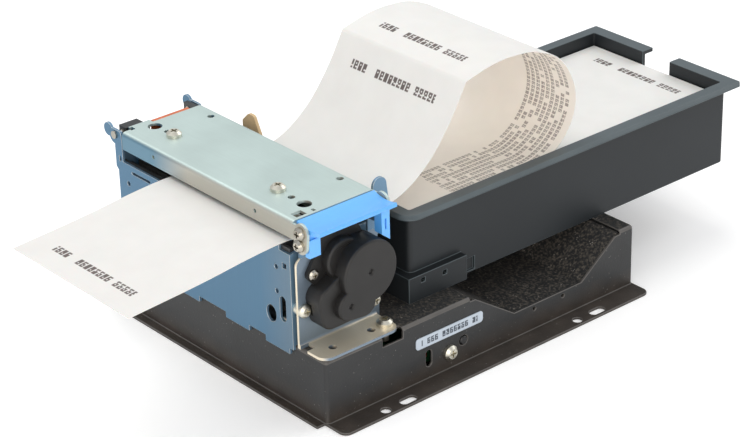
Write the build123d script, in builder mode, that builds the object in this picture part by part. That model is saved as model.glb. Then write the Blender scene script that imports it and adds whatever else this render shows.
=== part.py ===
from build123d import *
from math import acos, cos, pi, radians, sin, sqrt, tan
import os

# Kiosk ticket printer. Millimetres. The origin is the centre of the four round mounting holes, on the
# plane that the base stands on. +X is the operator's right, +Y the back, where the ticket tray is.
os.makedirs("parts", exist_ok=True)

# Clearances
FIT = 0.15        # side play of a piece that lies in another
GAP = 0.3         # between bodies that move past each other
RUNNING = 0.05    # radial play of a shaft in its bush

# Base
BASE_SHEET = 1.0
BASE_WIDTH = 124.0
BASE_LENGTH = 146.0
BASE_HEIGHT = 25.0
BASE_BEND = 1.4
HOLE_PITCH_X = 136.0
HOLE_PITCH_Y = 91.0
HOLE_DIAMETER = 3.6
HOLE_INSET = 20.5       # first round hole, behind the front wall
SLOT_LENGTH = 6.8
SLOT_WIDTH = 3.4
SLOT_STEP = 10.0        # each slot, behind its round hole
FLANGE_WIDTH = 9.0
FLANGE_CORNER = 3.0
FRONT_LIP = 3.5
DECK_LENGTH = 65.0      # flat deck under the mechanism
REAR_DECK_LENGTH = 9.5
TROUGH_HEIGHT = 11.0    # top edge of the side wall in the dip between the decks
FRONT_SLOPE = 21.0
REAR_SLOPE = 17.0
RELIEF_WIDTH = 2.4      # small notch where a bend ends
RELIEF_DEPTH = 1.5

# Print mechanism
MECH_SHEET = 1.0
MECH_FRAME_LEFT = -49.5    # outer face of the left side plate
MECH_FRAME_RIGHT = 46.5    # outer face of the inner right side plate
MECH_BRACKET_X = 49.3      # outer face of the bracket beside it
MECH_DEPTH = 35.5          # from the front plate's face to the back of the side plates
MECH_TOP = 60.0            # top edge of the side plates
MOUTH_BOTTOM = 61.0
MOUTH_TOP = 66.0
COVER_TOP = 72.5
COVER_LEFT = -46.0
COVER_RIGHT = 48.5
COVER_DEPTH = 35.5
HINGE_X = -50.2
HINGE_Z = 70.4
HINGE_PIN_DIAMETER = 1.9
HINGE_EAR_RADIUS = 3.7
HOOK = (-54.3, 71.2, 2.5)    # rounded end of the hinge ear: x, z, radius
HINGE_SHELF = 2.2            # strip of the cover that reaches over the front hinge block

# Feed train
GEAR_MODULE = 0.6
PLATEN_TEETH = 18
IDLER_SMALL_TEETH = 10
IDLER_LARGE_TEETH = 32
PINION_TEETH = 12
CUTTER_TEETH = 12
GEAR_FACE = 2.2
BACKLASH = 0.12
PRESSURE_ANGLE = 20.0
PLATEN_RADIUS = 6.9
PLATEN_Y = -49.6
PLATEN_Z = 54.6
SHAFT_DIAMETER = 5.0
IDLER_ANGLE = -38.4       # from the platen to the idler, seen from the right
MOTOR_ANGLE = 227.8       # from the idler to the motor
FEED_MOTOR_DIAMETER = 15.4
FEED_MOTOR_LENGTH = 20.0

# Cutter
BLADE_THICKNESS = 1.0
BLADE_TRAVEL = 5.0
CUTTER_X = -30.0
CUTTER_Z = 42.0
CUTTER_MOTOR_DIAMETER = 17.5
CUTTER_MOTOR_LENGTH = 18.0

# Latch lever
LEVER_PIVOT_X = 52.9
LEVER_PIVOT_Z = 69.8
LEVER_REACH = 61.0
LEVER_THICKNESS = 1.6

# Paper
TICKET_WIDTH = 65.0
TICKET_LENGTH = 156.0
PAPER = 0.25
TICKET_X = 12.7
STACK_TOP = 53.0

# Tray
TRAY_X = 13.0
TRAY_WALL = 1.5
TRAY_PLAY = 1.0          # beside the tickets
TRAY_END_PLAY = 0.5
TRAY_HEIGHT = 33.0
TRAY_RIM = 4.2           # overhang of the rim
TRAY_RIM_THICKNESS = 1.6
TRAY_FRONT = -16.4       # outer face of the front wall
THUMB_NOTCH = 14.0
TRAY_SCREW = (22.0, 6.0)   # from the tray's centre line and from its front

# Gear cover
COVER_WALL = 0.9
COVER_SKIN = 1.2
FLANGE_FACE_X = 50.8
PLATEN_FACE_X = 54.2
LOW_FACE_X = 56.6
HIGH_FACE_X = 59.4
IDLER_DISC = 11.5
PINION_DISC = 5.3
PLATEN_DISC = 7.5

# Places worked out from the sizes above
front = -(HOLE_PITCH_Y / 2 + HOLE_INSET)
rear = front + BASE_LENGTH
half_width = BASE_WIDTH / 2
deck_end = front + DECK_LENGTH
rear_deck = rear - REAR_DECK_LENGTH
mech_front = front - MECH_SHEET
mech_rear = mech_front + MECH_DEPTH
mech_floor = BASE_HEIGHT + MECH_SHEET
bracket_inner = MECH_BRACKET_X - MECH_SHEET
cover_rear = mech_front + COVER_DEPTH
cover_under = COVER_TOP - MECH_SHEET
paper_z = PLATEN_Z + PLATEN_RADIUS + GAP
idler_distance = GEAR_MODULE * (PLATEN_TEETH + IDLER_SMALL_TEETH) / 2
idler_y = PLATEN_Y + idler_distance * cos(radians(IDLER_ANGLE))
idler_z = PLATEN_Z + idler_distance * sin(radians(IDLER_ANGLE))
motor_distance = GEAR_MODULE * (IDLER_LARGE_TEETH + PINION_TEETH) / 2
motor_y = idler_y + motor_distance * cos(radians(MOTOR_ANGLE))
motor_z = idler_z + motor_distance * sin(radians(MOTOR_ANGLE))
inner_gear_x = MECH_BRACKET_X + 1.0
outer_gear_x = inner_gear_x + GEAR_FACE + GAP
blade_front = mech_front + 5.7
blade_back = blade_front + BLADE_THICKNESS
cutter_plate_y = blade_back + GAP
tray_rear = TRAY_FRONT + TICKET_LENGTH + 2 * TRAY_END_PLAY + 2 * TRAY_WALL
tray_half = TICKET_WIDTH / 2 + TRAY_PLAY + TRAY_WALL
tray_floor = BASE_HEIGHT + TRAY_WALL
tray_top = BASE_HEIGHT + TRAY_HEIGHT
cover_base_x = MECH_BRACKET_X + 0.1
GEAR_COVER_EAR = (mech_front + 6.0, 51.7)


def finish_part(builder, name):
    """Label a finished sub-part and write it."""
    builder.part.label = name
    export_step(builder.part, f"parts/{name}.step")


def bent_strip(points, thickness, radius):
    """Section of a bent sheet: one face runs through points, the other is thickness away on the right."""
    with BuildLine() as outline:
        FilletPolyline(*points, radius=radius)
        offset(amount=thickness, side=Side.RIGHT)
    make_face(outline.edges())


def gear_points(teeth, tooth_angle):
    """Outline of a spur gear with involute flanks, one tooth centred on tooth_angle."""
    pitch = GEAR_MODULE * teeth / 2
    base = pitch * cos(radians(PRESSURE_ANGLE))
    tip = pitch + 0.95 * GEAR_MODULE
    root = pitch - 1.25 * GEAR_MODULE
    half_tooth = (pi * GEAR_MODULE - BACKLASH) / (4 * pitch)
    alpha = radians(PRESSURE_ANGLE)
    involute = tan(alpha) - alpha

    def half_angle(radius):
        local = acos(min(1.0, base / radius))
        return half_tooth + involute - (tan(local) - local)

    start = max(base, root)
    radii = [start, (start + pitch) / 2, pitch, (pitch + tip) / 2, tip]
    flank = [(radius, half_angle(radius)) for radius in radii]
    if root < base:
        flank.insert(0, (root, half_angle(start)))
    points = []
    for tooth in range(teeth):
        middle = radians(tooth_angle) + 2 * pi * tooth / teeth
        rising = [(r * cos(middle - a), r * sin(middle - a)) for r, a in flank]
        falling = [(r * cos(middle + a), r * sin(middle + a)) for r, a in reversed(flank)]
        points += rising + falling
    return points


def gear_face(teeth, tooth_angle):
    """Toothed face in the current sketch, about its origin."""
    with BuildLine() as outline:
        Polyline(*gear_points(teeth, tooth_angle), close=True)
    make_face(outline.edges())


def pan_screw(plane, head_diameter, head_height, shank_diameter, shank_length):
    """Pan head screw: plane lies under the head and faces the way the head stands out."""
    with BuildSketch(plane) as head:
        Circle(head_diameter / 2)
    extrude(head.sketch, amount=head_height)
    rim = edges(Select.LAST).filter_by(GeomType.CIRCLE).sort_by_distance(plane.origin + plane.z_dir * 99)[0]
    chamfer(rim, head_height * 0.45)
    with BuildSketch(plane) as shank:
        Circle(shank_diameter / 2)
    extrude(shank.sketch, amount=-shank_length)
    with BuildSketch(plane.offset(head_height)) as recess:
        Rectangle(head_diameter * 0.5, head_diameter * 0.13)
        Rectangle(head_diameter * 0.13, head_diameter * 0.5)
    extrude(recess.sketch, amount=-head_height * 0.55, mode=Mode.SUBTRACT)


# Base chassis: side walls dip between a front deck and a narrow rear deck, flanges turn outwards
wall_outline = [
    (front, 0),
    (front, BASE_HEIGHT),
    (deck_end, BASE_HEIGHT),
    (deck_end, BASE_HEIGHT - RELIEF_DEPTH),
    (deck_end + RELIEF_WIDTH, BASE_HEIGHT - RELIEF_DEPTH),
    (deck_end + FRONT_SLOPE, TROUGH_HEIGHT),
    (rear_deck - REAR_SLOPE, TROUGH_HEIGHT),
    (rear_deck, BASE_HEIGHT - RELIEF_DEPTH),
    (rear_deck + RELIEF_WIDTH, BASE_HEIGHT - RELIEF_DEPTH),
    (rear_deck + RELIEF_WIDTH, BASE_HEIGHT),
    (rear, BASE_HEIGHT),
    (rear, 0),
]
ALARM_SLOT = (front + 45.5, 8.7)
SWITCH_SCREW = (front + 55.0, 7.4)
BUTTON = (front + 61.6, 9.6)
BUTTON_DIAMETER = 3.2
mech_screw_x = (MECH_BRACKET_X + half_width) / 2 + 1.35
mech_screw_y = mech_front + 31.1
SMALL_HOLES = (front + 95.8, front + 110.0)
POWER_INLET = (-38.0, 13.0)
DATA_SOCKET = (-10.0, 12.5)
DATA_SOCKET_SIZE = (14.0, 12.0)
POWER_INLET_DIAMETER = 9.0

with BuildPart() as base_chassis:
    with BuildSketch(Plane.YZ.offset(half_width - BASE_SHEET)):
        with BuildLine():
            Polyline(*wall_outline, close=True)
        make_face()
    extrude(amount=BASE_SHEET)
    mirror(about=Plane.YZ)
    with BuildSketch(Plane.XY.offset(BASE_HEIGHT - BASE_SHEET)):
        with Locations((0, (front + deck_end) / 2)):
            Rectangle(BASE_WIDTH, DECK_LENGTH)
        with Locations((0, (rear_deck + RELIEF_WIDTH + rear) / 2)):
            Rectangle(BASE_WIDTH, REAR_DECK_LENGTH - RELIEF_WIDTH)
    extrude(amount=BASE_SHEET)
    with BuildSketch(Plane.XZ.offset(-front)):
        with Locations((0, BASE_HEIGHT / 2)):
            Rectangle(BASE_WIDTH, BASE_HEIGHT)
    extrude(amount=-BASE_SHEET)
    with BuildSketch(Plane.XZ.offset(-rear)):
        with Locations((0, BASE_HEIGHT / 2)):
            Rectangle(BASE_WIDTH, BASE_HEIGHT)
        with Locations(POWER_INLET):
            Circle(POWER_INLET_DIAMETER / 2, mode=Mode.SUBTRACT)
        with Locations(DATA_SOCKET):
            Rectangle(*DATA_SOCKET_SIZE, mode=Mode.SUBTRACT)
    extrude(amount=BASE_SHEET)
    long_edges = edges().filter_by(Axis.Y).group_by(Axis.Z)[-1]
    fillet(long_edges.filter_by(lambda e: abs(abs(e.center().X) - half_width) < 0.01), BASE_BEND)
    cross_edges = edges().filter_by(Axis.X).group_by(Axis.Z)[-1]
    fillet(cross_edges.sort_by(Axis.Y)[0], BASE_BEND)
    fillet(edges().filter_by(Axis.X).group_by(Axis.Z)[-1].sort_by(Axis.Y)[-1], BASE_BEND)
    with BuildSketch(Plane.XY) as flange_plan:
        with GridLocations(BASE_WIDTH + FLANGE_WIDTH - BASE_SHEET, 0, 2, 1):
            with Locations((0, (front + rear) / 2)):
                Rectangle(FLANGE_WIDTH + BASE_SHEET, BASE_LENGTH)
        fillet(flange_plan.vertices().group_by(Axis.X)[0] + flange_plan.vertices().group_by(Axis.X)[-1],
               FLANGE_CORNER)
        with Locations((0, front - FRONT_LIP / 2 + BASE_SHEET / 2)):
            Rectangle(BASE_WIDTH - 2 * BASE_BEND, FRONT_LIP + BASE_SHEET)
        with GridLocations(HOLE_PITCH_X, HOLE_PITCH_Y, 2, 2):
            Circle(HOLE_DIAMETER / 2, mode=Mode.SUBTRACT)
        with Locations((0, SLOT_STEP)):
            with GridLocations(HOLE_PITCH_X, HOLE_PITCH_Y, 2, 2):
                SlotOverall(SLOT_LENGTH, SLOT_WIDTH, rotation=90, mode=Mode.SUBTRACT)
    extrude(amount=BASE_SHEET)
    with BuildSketch(Plane.YZ.offset(half_width)):
        with Locations(ALARM_SLOT):
            SlotOverall(6.4, 2.6, rotation=90)
        with Locations(SWITCH_SCREW):
            Circle(1.7)
        with Locations(BUTTON):
            Circle(BUTTON_DIAMETER / 2 + GAP)
        with Locations(*[(y, TROUGH_HEIGHT - 2) for y in SMALL_HOLES]):
            Circle(0.7)
    extrude(amount=-BASE_SHEET, mode=Mode.SUBTRACT)
    with BuildSketch(Plane.XY.offset(BASE_HEIGHT - 4)):
        with GridLocations(2 * (half_width - 0.8), 0, 2, 1):
            with Locations((0, mech_screw_y - 0.6)):
                Rectangle(3.2, 9.0)
    extrude(amount=4, mode=Mode.SUBTRACT)
    with BuildSketch(Plane.XY.offset(BASE_HEIGHT)):
        with Locations((mech_screw_x, mech_screw_y), (-mech_screw_x, mech_screw_y)):
            Circle(1.5)
        with Locations((TRAY_X, TRAY_FRONT + TRAY_SCREW[1])):
            with GridLocations(2 * TRAY_SCREW[0], 0, 2, 1):
                Circle(1.2)
    extrude(amount=-BASE_SHEET, mode=Mode.SUBTRACT)
finish_part(base_chassis, "base_chassis")

# Deck pan: the bent inner sheet that closes the dip between the two decks
pan_top = BASE_HEIGHT - BASE_SHEET
PAN_LAP = 6.0
PAN_DROP = 0.8
with BuildPart() as deck_pan:
    with BuildSketch(Plane.YZ.offset(-half_width + BASE_SHEET + FIT)):
        bent_strip(
            [
                (deck_end - PAN_LAP, pan_top),
                (deck_end + 0.8, pan_top),
                (deck_end + FRONT_SLOPE, TROUGH_HEIGHT - PAN_DROP),
                (rear_deck - REAR_SLOPE, TROUGH_HEIGHT - PAN_DROP),
                (rear_deck + 1.2, pan_top),
                (rear - BASE_SHEET - FIT, pan_top),
            ],
            BASE_SHEET,
            1.5,
        )
    extrude(amount=BASE_WIDTH - 2 * BASE_SHEET - 2 * FIT)
finish_part(deck_pan, "deck_pan")

# Bottom cover with its vent slots, between the walls
with BuildPart() as bottom_cover:
    with BuildSketch(Plane.XY):
        with Locations((0, (front + rear) / 2)):
            Rectangle(BASE_WIDTH - 2 * BASE_SHEET - 2 * FIT, BASE_LENGTH - 2 * BASE_SHEET - 2 * FIT)
        with Locations((0, deck_end + 30)):
            with GridLocations(8, 0, 9, 1):
                SlotOverall(22, 2.4, rotation=90, mode=Mode.SUBTRACT)
    extrude(amount=BASE_SHEET)
finish_part(bottom_cover, "bottom_cover")

# Control board on four stand-offs
BOARD_WIDTH = BASE_WIDTH - 26.0
BOARD_LENGTH = 54.0
BOARD_THICKNESS = 1.6
STANDOFF_HEIGHT = 4.0
board_z = BASE_SHEET + STANDOFF_HEIGHT
board_y = front + 6 + BOARD_LENGTH / 2
BOARD_FIXING = 3.5
with BuildPart() as board_standoffs:
    with BuildSketch(Plane.XY.offset(BASE_SHEET)):
        with Locations((0, board_y)):
            with GridLocations(BOARD_WIDTH - 2 * BOARD_FIXING, BOARD_LENGTH - 2 * BOARD_FIXING, 2, 2):
                RegularPolygon(2.8, 6)
                Circle(1.25, mode=Mode.SUBTRACT)
    extrude(amount=STANDOFF_HEIGHT)
finish_part(board_standoffs, "board_standoffs")

with BuildPart() as control_board:
    with BuildSketch(Plane.XY.offset(board_z)):
        with Locations((0, board_y)):
            Rectangle(BOARD_WIDTH, BOARD_LENGTH)
            with GridLocations(BOARD_WIDTH - 2 * BOARD_FIXING, BOARD_LENGTH - 2 * BOARD_FIXING, 2, 2):
                Circle(1.6, mode=Mode.SUBTRACT)
    extrude(amount=BOARD_THICKNESS)
finish_part(control_board, "control_board")

board_top = board_z + BOARD_THICKNESS
with BuildPart() as board_screws:
    for side in (-1, 1):
        for end in (-1, 1):
            pan_screw(
                Plane((
                    side * (BOARD_WIDTH / 2 - BOARD_FIXING),
                    board_y + end * (BOARD_LENGTH / 2 - BOARD_FIXING),
                    board_top,
                )),
                5.0, 1.9, 2.4, BOARD_THICKNESS + 3,
            )
finish_part(board_screws, "board_screws")

with BuildPart() as board_chips:
    with BuildSketch(Plane.XY.offset(board_top)):
        with Locations((-14, board_y + 4)):
            Rectangle(16, 16)
        with Locations((12, board_y + 8), (12, board_y - 6)):
            Rectangle(11, 7.5)
    extrude(amount=1.5)
    with BuildSketch(Plane.XY.offset(board_top)):
        with Locations((32, board_y + 14), (32, board_y + 2)):
            Circle(4.0)
    extrude(amount=9)
finish_part(board_chips, "board_chips")

with BuildPart() as board_connectors:
    with BuildSketch(Plane.XY.offset(board_top)):
        with Locations((-38, board_y - 14), (-20, board_y - 18), (2, board_y - 18)):
            Rectangle(13, 5.5)
    extrude(amount=7)
    with BuildSketch(Plane.XY.offset(board_top + 2)):
        with Locations((-38, board_y - 14), (-20, board_y - 18), (2, board_y - 18)):
            Rectangle(11, 3.5)
    extrude(amount=5, mode=Mode.SUBTRACT)
finish_part(board_connectors, "board_connectors")

# Connectors in the rear wall
with BuildPart() as power_inlet:
    with BuildSketch(Plane.XZ.offset(-rear)):
        with Locations(POWER_INLET):
            Circle(POWER_INLET_DIAMETER / 2 + 1.2)
    extrude(amount=-1.2)
    with BuildSketch(Plane.XZ.offset(-rear)):
        with Locations(POWER_INLET):
            Circle(POWER_INLET_DIAMETER / 2 - FIT)
    extrude(amount=11)
    with BuildSketch(Plane.XZ.offset(-rear - 1.2)):
        with Locations(POWER_INLET):
            Circle(2.8)
    extrude(amount=9, mode=Mode.SUBTRACT)
    with BuildSketch(Plane.XZ.offset(-rear + 7.8)):
        with Locations(POWER_INLET):
            Circle(1.0)
    extrude(amount=-7)
finish_part(power_inlet, "power_inlet")

with BuildPart() as data_socket:
    with BuildSketch(Plane.XZ.offset(-rear - 0.6)):
        with Locations(DATA_SOCKET):
            Rectangle(DATA_SOCKET_SIZE[0] - 2 * FIT, DATA_SOCKET_SIZE[1] - 2 * FIT)
    extrude(amount=12.5)
    with BuildSketch(Plane.XZ.offset(-rear - 0.6)):
        with Locations(DATA_SOCKET):
            Rectangle(9.0, 8.0)
    extrude(amount=10, mode=Mode.SUBTRACT)
    with BuildSketch(Plane.XZ.offset(-rear + 9.4)):
        with Locations(DATA_SOCKET):
            Rectangle(6.0, 3.5)
    extrude(amount=-9)
finish_part(data_socket, "data_socket")

# Feed switch, alarm lamp and their small board behind the right wall
wall_inner = half_width - BASE_SHEET
SWITCH_STANDOFF = 5.0
SWITCH_BOARD = (26.0, 11.0)
switch_board_x = wall_inner - SWITCH_STANDOFF
with BuildPart() as switch_board:
    with BuildSketch(Plane.YZ.offset(switch_board_x)):
        with Locations(((ALARM_SLOT[0] + BUTTON[0]) / 2, 8.4)):
            Rectangle(*SWITCH_BOARD)
    extrude(amount=-1.2)
    with BuildSketch(Plane.YZ.offset(switch_board_x)):
        with Locations(SWITCH_SCREW):
            Circle(2.6)
            Circle(1.3, mode=Mode.SUBTRACT)
    extrude(amount=SWITCH_STANDOFF)
finish_part(switch_board, "switch_board")

with BuildPart() as alarm_lamp:
    with BuildSketch(Plane.YZ.offset(switch_board_x)):
        with Locations(ALARM_SLOT):
            Circle(1.9)
    extrude(amount=1.0)
    with BuildSketch(Plane.YZ.offset(switch_board_x + 1.0)):
        with Locations(ALARM_SLOT):
            Circle(1.5)
    extrude(amount=3.0)
    chamfer(faces().sort_by(Axis.X)[-1].edges(), 0.7)
finish_part(alarm_lamp, "alarm_lamp")

BUTTON_TRAVEL = 0.8
switch_face = switch_board_x + 2.6
with BuildPart() as feed_switch:
    with BuildSketch(Plane.YZ.offset(switch_board_x)):
        with Locations(BUTTON):
            RectangleRounded(5.6, 5.6, 0.5)
    extrude(amount=2.6 - BUTTON_TRAVEL)
    with BuildSketch(Plane.YZ.offset(switch_board_x)):
        with Locations(BUTTON):
            Circle(2.6)
    extrude(amount=2.6)
    with BuildSketch(Plane.YZ.offset(switch_face)):
        with Locations(BUTTON):
            Circle(BUTTON_DIAMETER / 2 + RUNNING)
    extrude(amount=-1.6, mode=Mode.SUBTRACT)
finish_part(feed_switch, "feed_switch")

with BuildPart() as feed_button:
    with BuildSketch(Plane.YZ.offset(switch_face - 0.7)):
        with Locations(BUTTON):
            Circle(BUTTON_DIAMETER / 2)
    extrude(amount=half_width + 0.4 - switch_face + 0.7)
    chamfer(faces().sort_by(Axis.X)[-1].edges(), 0.35)
finish_part(feed_button, "feed_button")

with BuildPart() as switch_screw:
    pan_screw(
        Plane(origin=(half_width, *SWITCH_SCREW), x_dir=(0, 1, 0), z_dir=(1, 0, 0)),
        5.6, 2.0, 2.5, BASE_SHEET + SWITCH_STANDOFF,
    )
finish_part(switch_screw, "switch_screw")

LABEL_LENGTH = 31.0
LABEL_HEIGHT = 4.3
with BuildPart() as switch_label:
    with BuildSketch(Plane.YZ.offset(half_width)):
        with Locations((front + 55.0, 16.0)):
            RectangleRounded(LABEL_LENGTH, LABEL_HEIGHT, 1.2)
    extrude(amount=0.3)
finish_part(switch_label, "switch_label")

# Mechanism frame: front plate with folded side plates, and tabs that hook in front of the base
EAR_TOP = 74.6
ear_front = cover_rear + GAP + 0.6
STEP_Z = 57.0
ARM_TOP = 68.8
SIDE_TOP = 66.4          # left side plate, under the sweep of the hinge blocks


def hinge_ear():
    """Ear that holds a hinge pin, with its rounded hook on the left."""
    with BuildSketch(mode=Mode.PRIVATE) as ear:
        with Locations((HINGE_X, HINGE_Z)):
            Circle(HINGE_EAR_RADIUS)
        with Locations(((MECH_FRAME_LEFT - 1.2 + COVER_LEFT - 0.4) / 2, ARM_TOP - 1)):
            Rectangle(COVER_LEFT - MECH_FRAME_LEFT + 0.8, 2)
        make_hull()
        with Locations((HINGE_X, COVER_TOP + 1.9)):
            Rectangle(10, 4, mode=Mode.SUBTRACT)
    add(ear.sketch)
    with Locations((HOOK[0], HOOK[1])):
        Circle(HOOK[2])
    with Locations(((HOOK[0] + HINGE_X) / 2, HOOK[1] - 0.4)):
        Rectangle(HINGE_X - HOOK[0], 2.6)
    with Locations((HINGE_X, HINGE_Z)):
        Circle(HINGE_PIN_DIAMETER / 2, mode=Mode.SUBTRACT)


with BuildPart() as mech_frame:
    with BuildSketch(Plane.XZ.offset(-mech_front)) as front_plan:
        with BuildLine():
            Polyline(
                (MECH_FRAME_LEFT, 23.5), (MECH_FRAME_LEFT, STEP_Z), (MECH_FRAME_LEFT - 1.2, STEP_Z + 1.2),
                (MECH_FRAME_LEFT - 1.2, ARM_TOP), (COVER_LEFT - 0.4, ARM_TOP),
                (COVER_LEFT - 0.4, MOUTH_BOTTOM), (MECH_FRAME_RIGHT - 5.5, MOUTH_BOTTOM),
                (MECH_FRAME_RIGHT - 5.5, MOUTH_BOTTOM - 1.6), (MECH_FRAME_RIGHT, MOUTH_BOTTOM - 1.6),
                (MECH_FRAME_RIGHT, 23.5), close=True,
            )
        make_face()
        hinge_ear()
        with Locations((-40, 23.0), (-12, 23.0), (16, 23.0), (38, 23.0)):
            Rectangle(13, 3.4)
        with Locations((39.0, 52.4), (38.9, 43.2), (-43.8, 53.4)):
            Circle(0.9, mode=Mode.SUBTRACT)
        with Locations((-48.4, 61.8)):
            Circle(1.1, mode=Mode.SUBTRACT)
        with Locations((43.4, 54.2)):
            Rectangle(2.0, 2.0, mode=Mode.SUBTRACT)
        with Locations((41.8, 37.4)):
            SlotOverall(9.4, 3.2, rotation=90, mode=Mode.SUBTRACT)
        with Locations((35.4, 33.4)):
            Ellipse(2.6, 3.2, mode=Mode.SUBTRACT)
        with Locations((-36, 58.4)):
            SlotOverall(11, 1.0, mode=Mode.SUBTRACT)
    extrude(amount=-MECH_SHEET)
    with BuildSketch(Plane.YZ.offset(MECH_FRAME_RIGHT - MECH_SHEET)):
        with BuildLine():
            Polyline(
                (mech_front, BASE_HEIGHT), (mech_front, MOUTH_BOTTOM - 1.6), (mech_front + 4, MECH_TOP),
                (ear_front, MECH_TOP), (ear_front, EAR_TOP - 3.2),
            )
            ThreePointArc(
                (ear_front, EAR_TOP - 3.2), (ear_front + 2.8, EAR_TOP), (ear_front + 6.0, EAR_TOP - 3.0)
            )
            Polyline(
                (ear_front + 6.0, EAR_TOP - 3.0), (ear_front + 7.2, 62.0), (ear_front + 6.0, 57.0),
                (mech_rear, 52.0), (mech_rear, BASE_HEIGHT), (mech_front, BASE_HEIGHT),
            )
        make_face()
        with Locations((PLATEN_Y, PLATEN_Z)):
            Circle(4.0, mode=Mode.SUBTRACT)
        with Locations((motor_y, motor_z)):
            Circle(3.5, mode=Mode.SUBTRACT)
    extrude(amount=MECH_SHEET)
    with BuildSketch(Plane.YZ.offset(MECH_FRAME_LEFT)):
        with BuildLine():
            Polyline(
                (mech_front, BASE_HEIGHT), (mech_front, SIDE_TOP), (mech_rear, SIDE_TOP),
                (mech_rear, BASE_HEIGHT), close=True,
            )
        make_face()
        with Locations((PLATEN_Y, PLATEN_Z)):
            Circle(4.0, mode=Mode.SUBTRACT)
    extrude(amount=MECH_SHEET)
    with BuildSketch(Plane.XZ.offset(-mech_rear)):
        with BuildLine():
            Polyline(
                (MECH_FRAME_LEFT - 1.2, MECH_TOP - 4), (MECH_FRAME_LEFT - 1.2, ARM_TOP),
                (COVER_LEFT - 0.4, ARM_TOP), (COVER_LEFT - 0.4, ARM_TOP - 3),
                (MECH_FRAME_LEFT + MECH_SHEET, MECH_TOP + 4), (MECH_FRAME_LEFT + MECH_SHEET, MECH_TOP - 4),
                close=True,
            )
        make_face()
        hinge_ear()
    extrude(amount=MECH_SHEET)
    with BuildSketch(Plane.XY.offset(BASE_HEIGHT)):
        with Locations((MECH_FRAME_RIGHT - 4, (mech_front + mech_rear) / 2 + 4)):
            Rectangle(8, 22)
        with Locations((MECH_FRAME_LEFT + 4, (mech_front + mech_rear) / 2 + 4)):
            Rectangle(8, 22)
    extrude(amount=MECH_SHEET)
finish_part(mech_frame, "mech_frame")

# Brackets that carry the mechanism on the base: one side plate and a flange with a rounded corner each
BRACKET_TOP = 58.4
bracket_front = mech_front + 0.5
flange_edge = half_width + 0.3
BRACKET_FIXINGS = ((mech_front + 2.8, 38.9), (mech_rear - 2.6, 32.0))
with BuildPart() as mech_bracket_right:
    with BuildSketch(Plane.YZ.offset(bracket_inner)) as side_plan:
        with BuildLine():
            Polyline(
                (bracket_front, BASE_HEIGHT), (bracket_front, BRACKET_TOP), (mech_rear, BRACKET_TOP),
                (mech_rear, BASE_HEIGHT), close=True,
            )
        make_face()
        fillet(side_plan.vertices().group_by(Axis.Y)[-1], 3.0)
        with Locations((PLATEN_Y, PLATEN_Z)):
            Circle(4.4, mode=Mode.SUBTRACT)
        with Locations((PLATEN_Y, PLATEN_Z + 4)):
            Rectangle(8.8, 8.0, mode=Mode.SUBTRACT)
        with Locations((motor_y, motor_z)):
            Circle(3.5, mode=Mode.SUBTRACT)
        with Locations((idler_y, idler_z)):
            Circle(1.5, mode=Mode.SUBTRACT)
        with Locations(*BRACKET_FIXINGS, GEAR_COVER_EAR):
            Circle(1.2, mode=Mode.SUBTRACT)
    extrude(amount=MECH_SHEET)
    with BuildSketch(Plane.XY.offset(BASE_HEIGHT)) as flange_right:
        with Locations(((bracket_inner + flange_edge) / 2, (bracket_front + mech_rear - 1.5) / 2)):
            Rectangle(flange_edge - bracket_inner, mech_rear - 1.5 - bracket_front)
        fillet(flange_right.vertices().group_by(Axis.X)[-1], 4.0)
        with Locations((mech_screw_x, mech_screw_y)):
            Circle(1.6, mode=Mode.SUBTRACT)
        with Locations((mech_screw_x, mech_screw_y - 5.9), (mech_screw_x, mech_screw_y - 22.8)):
            Circle(1.45, mode=Mode.SUBTRACT)
        with Locations((MECH_BRACKET_X + 2.2, bracket_front + 1.5)):
            Rectangle(3.6, 4.0, mode=Mode.SUBTRACT)
    extrude(amount=MECH_SHEET)
    fold = edges().filter_by(Axis.Y).sort_by_distance((MECH_BRACKET_X, mech_screw_y, mech_floor))[0]
    fillet(fold, 1.2)
finish_part(mech_bracket_right, "mech_bracket_right")

with BuildPart() as mech_bracket_left:
    with BuildSketch(Plane.YZ.offset(MECH_FRAME_LEFT)) as side_plan:
        with Locations(((bracket_front + mech_rear) / 2, (BASE_HEIGHT + 46) / 2)):
            Rectangle(mech_rear - bracket_front, 46 - BASE_HEIGHT)
        fillet(side_plan.vertices().group_by(Axis.Y)[-1], 3.0)
    extrude(amount=-MECH_SHEET)
    with BuildSketch(Plane.XY.offset(BASE_HEIGHT)) as flange_left:
        with Locations(((MECH_FRAME_LEFT - flange_edge) / 2, (bracket_front + mech_rear - 1.5) / 2)):
            Rectangle(flange_edge + MECH_FRAME_LEFT, mech_rear - 1.5 - bracket_front)
        fillet(flange_left.vertices().group_by(Axis.X)[0], 4.0)
        with Locations((-mech_screw_x, mech_screw_y)):
            Circle(1.6, mode=Mode.SUBTRACT)
        with Locations((-mech_screw_x, mech_screw_y - 5.9), (-mech_screw_x, mech_screw_y - 22.8)):
            Circle(1.45, mode=Mode.SUBTRACT)
    extrude(amount=MECH_SHEET)
finish_part(mech_bracket_left, "mech_bracket_left")

with BuildPart() as mech_screws:
    for side in (-1, 1):
        pan_screw(Plane((side * mech_screw_x, mech_screw_y, mech_floor)), 5.8, 2.2, 2.9, 6.0)
finish_part(mech_screws, "mech_screws")

# Spacers and screws between the frame's right side plate and its bracket
with BuildPart() as bracket_screws:
    for spot in BRACKET_FIXINGS:
        pan_screw(
            Plane(origin=(MECH_BRACKET_X, *spot), x_dir=(0, 1, 0), z_dir=(1, 0, 0)),
            4.9, 1.9, 2.4, MECH_SHEET,
        )
        with BuildSketch(Plane.YZ.offset(MECH_FRAME_RIGHT)):
            with Locations(spot):
                Circle(2.4)
        extrude(amount=bracket_inner - MECH_FRAME_RIGHT)
finish_part(bracket_screws, "bracket_screws")

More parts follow.
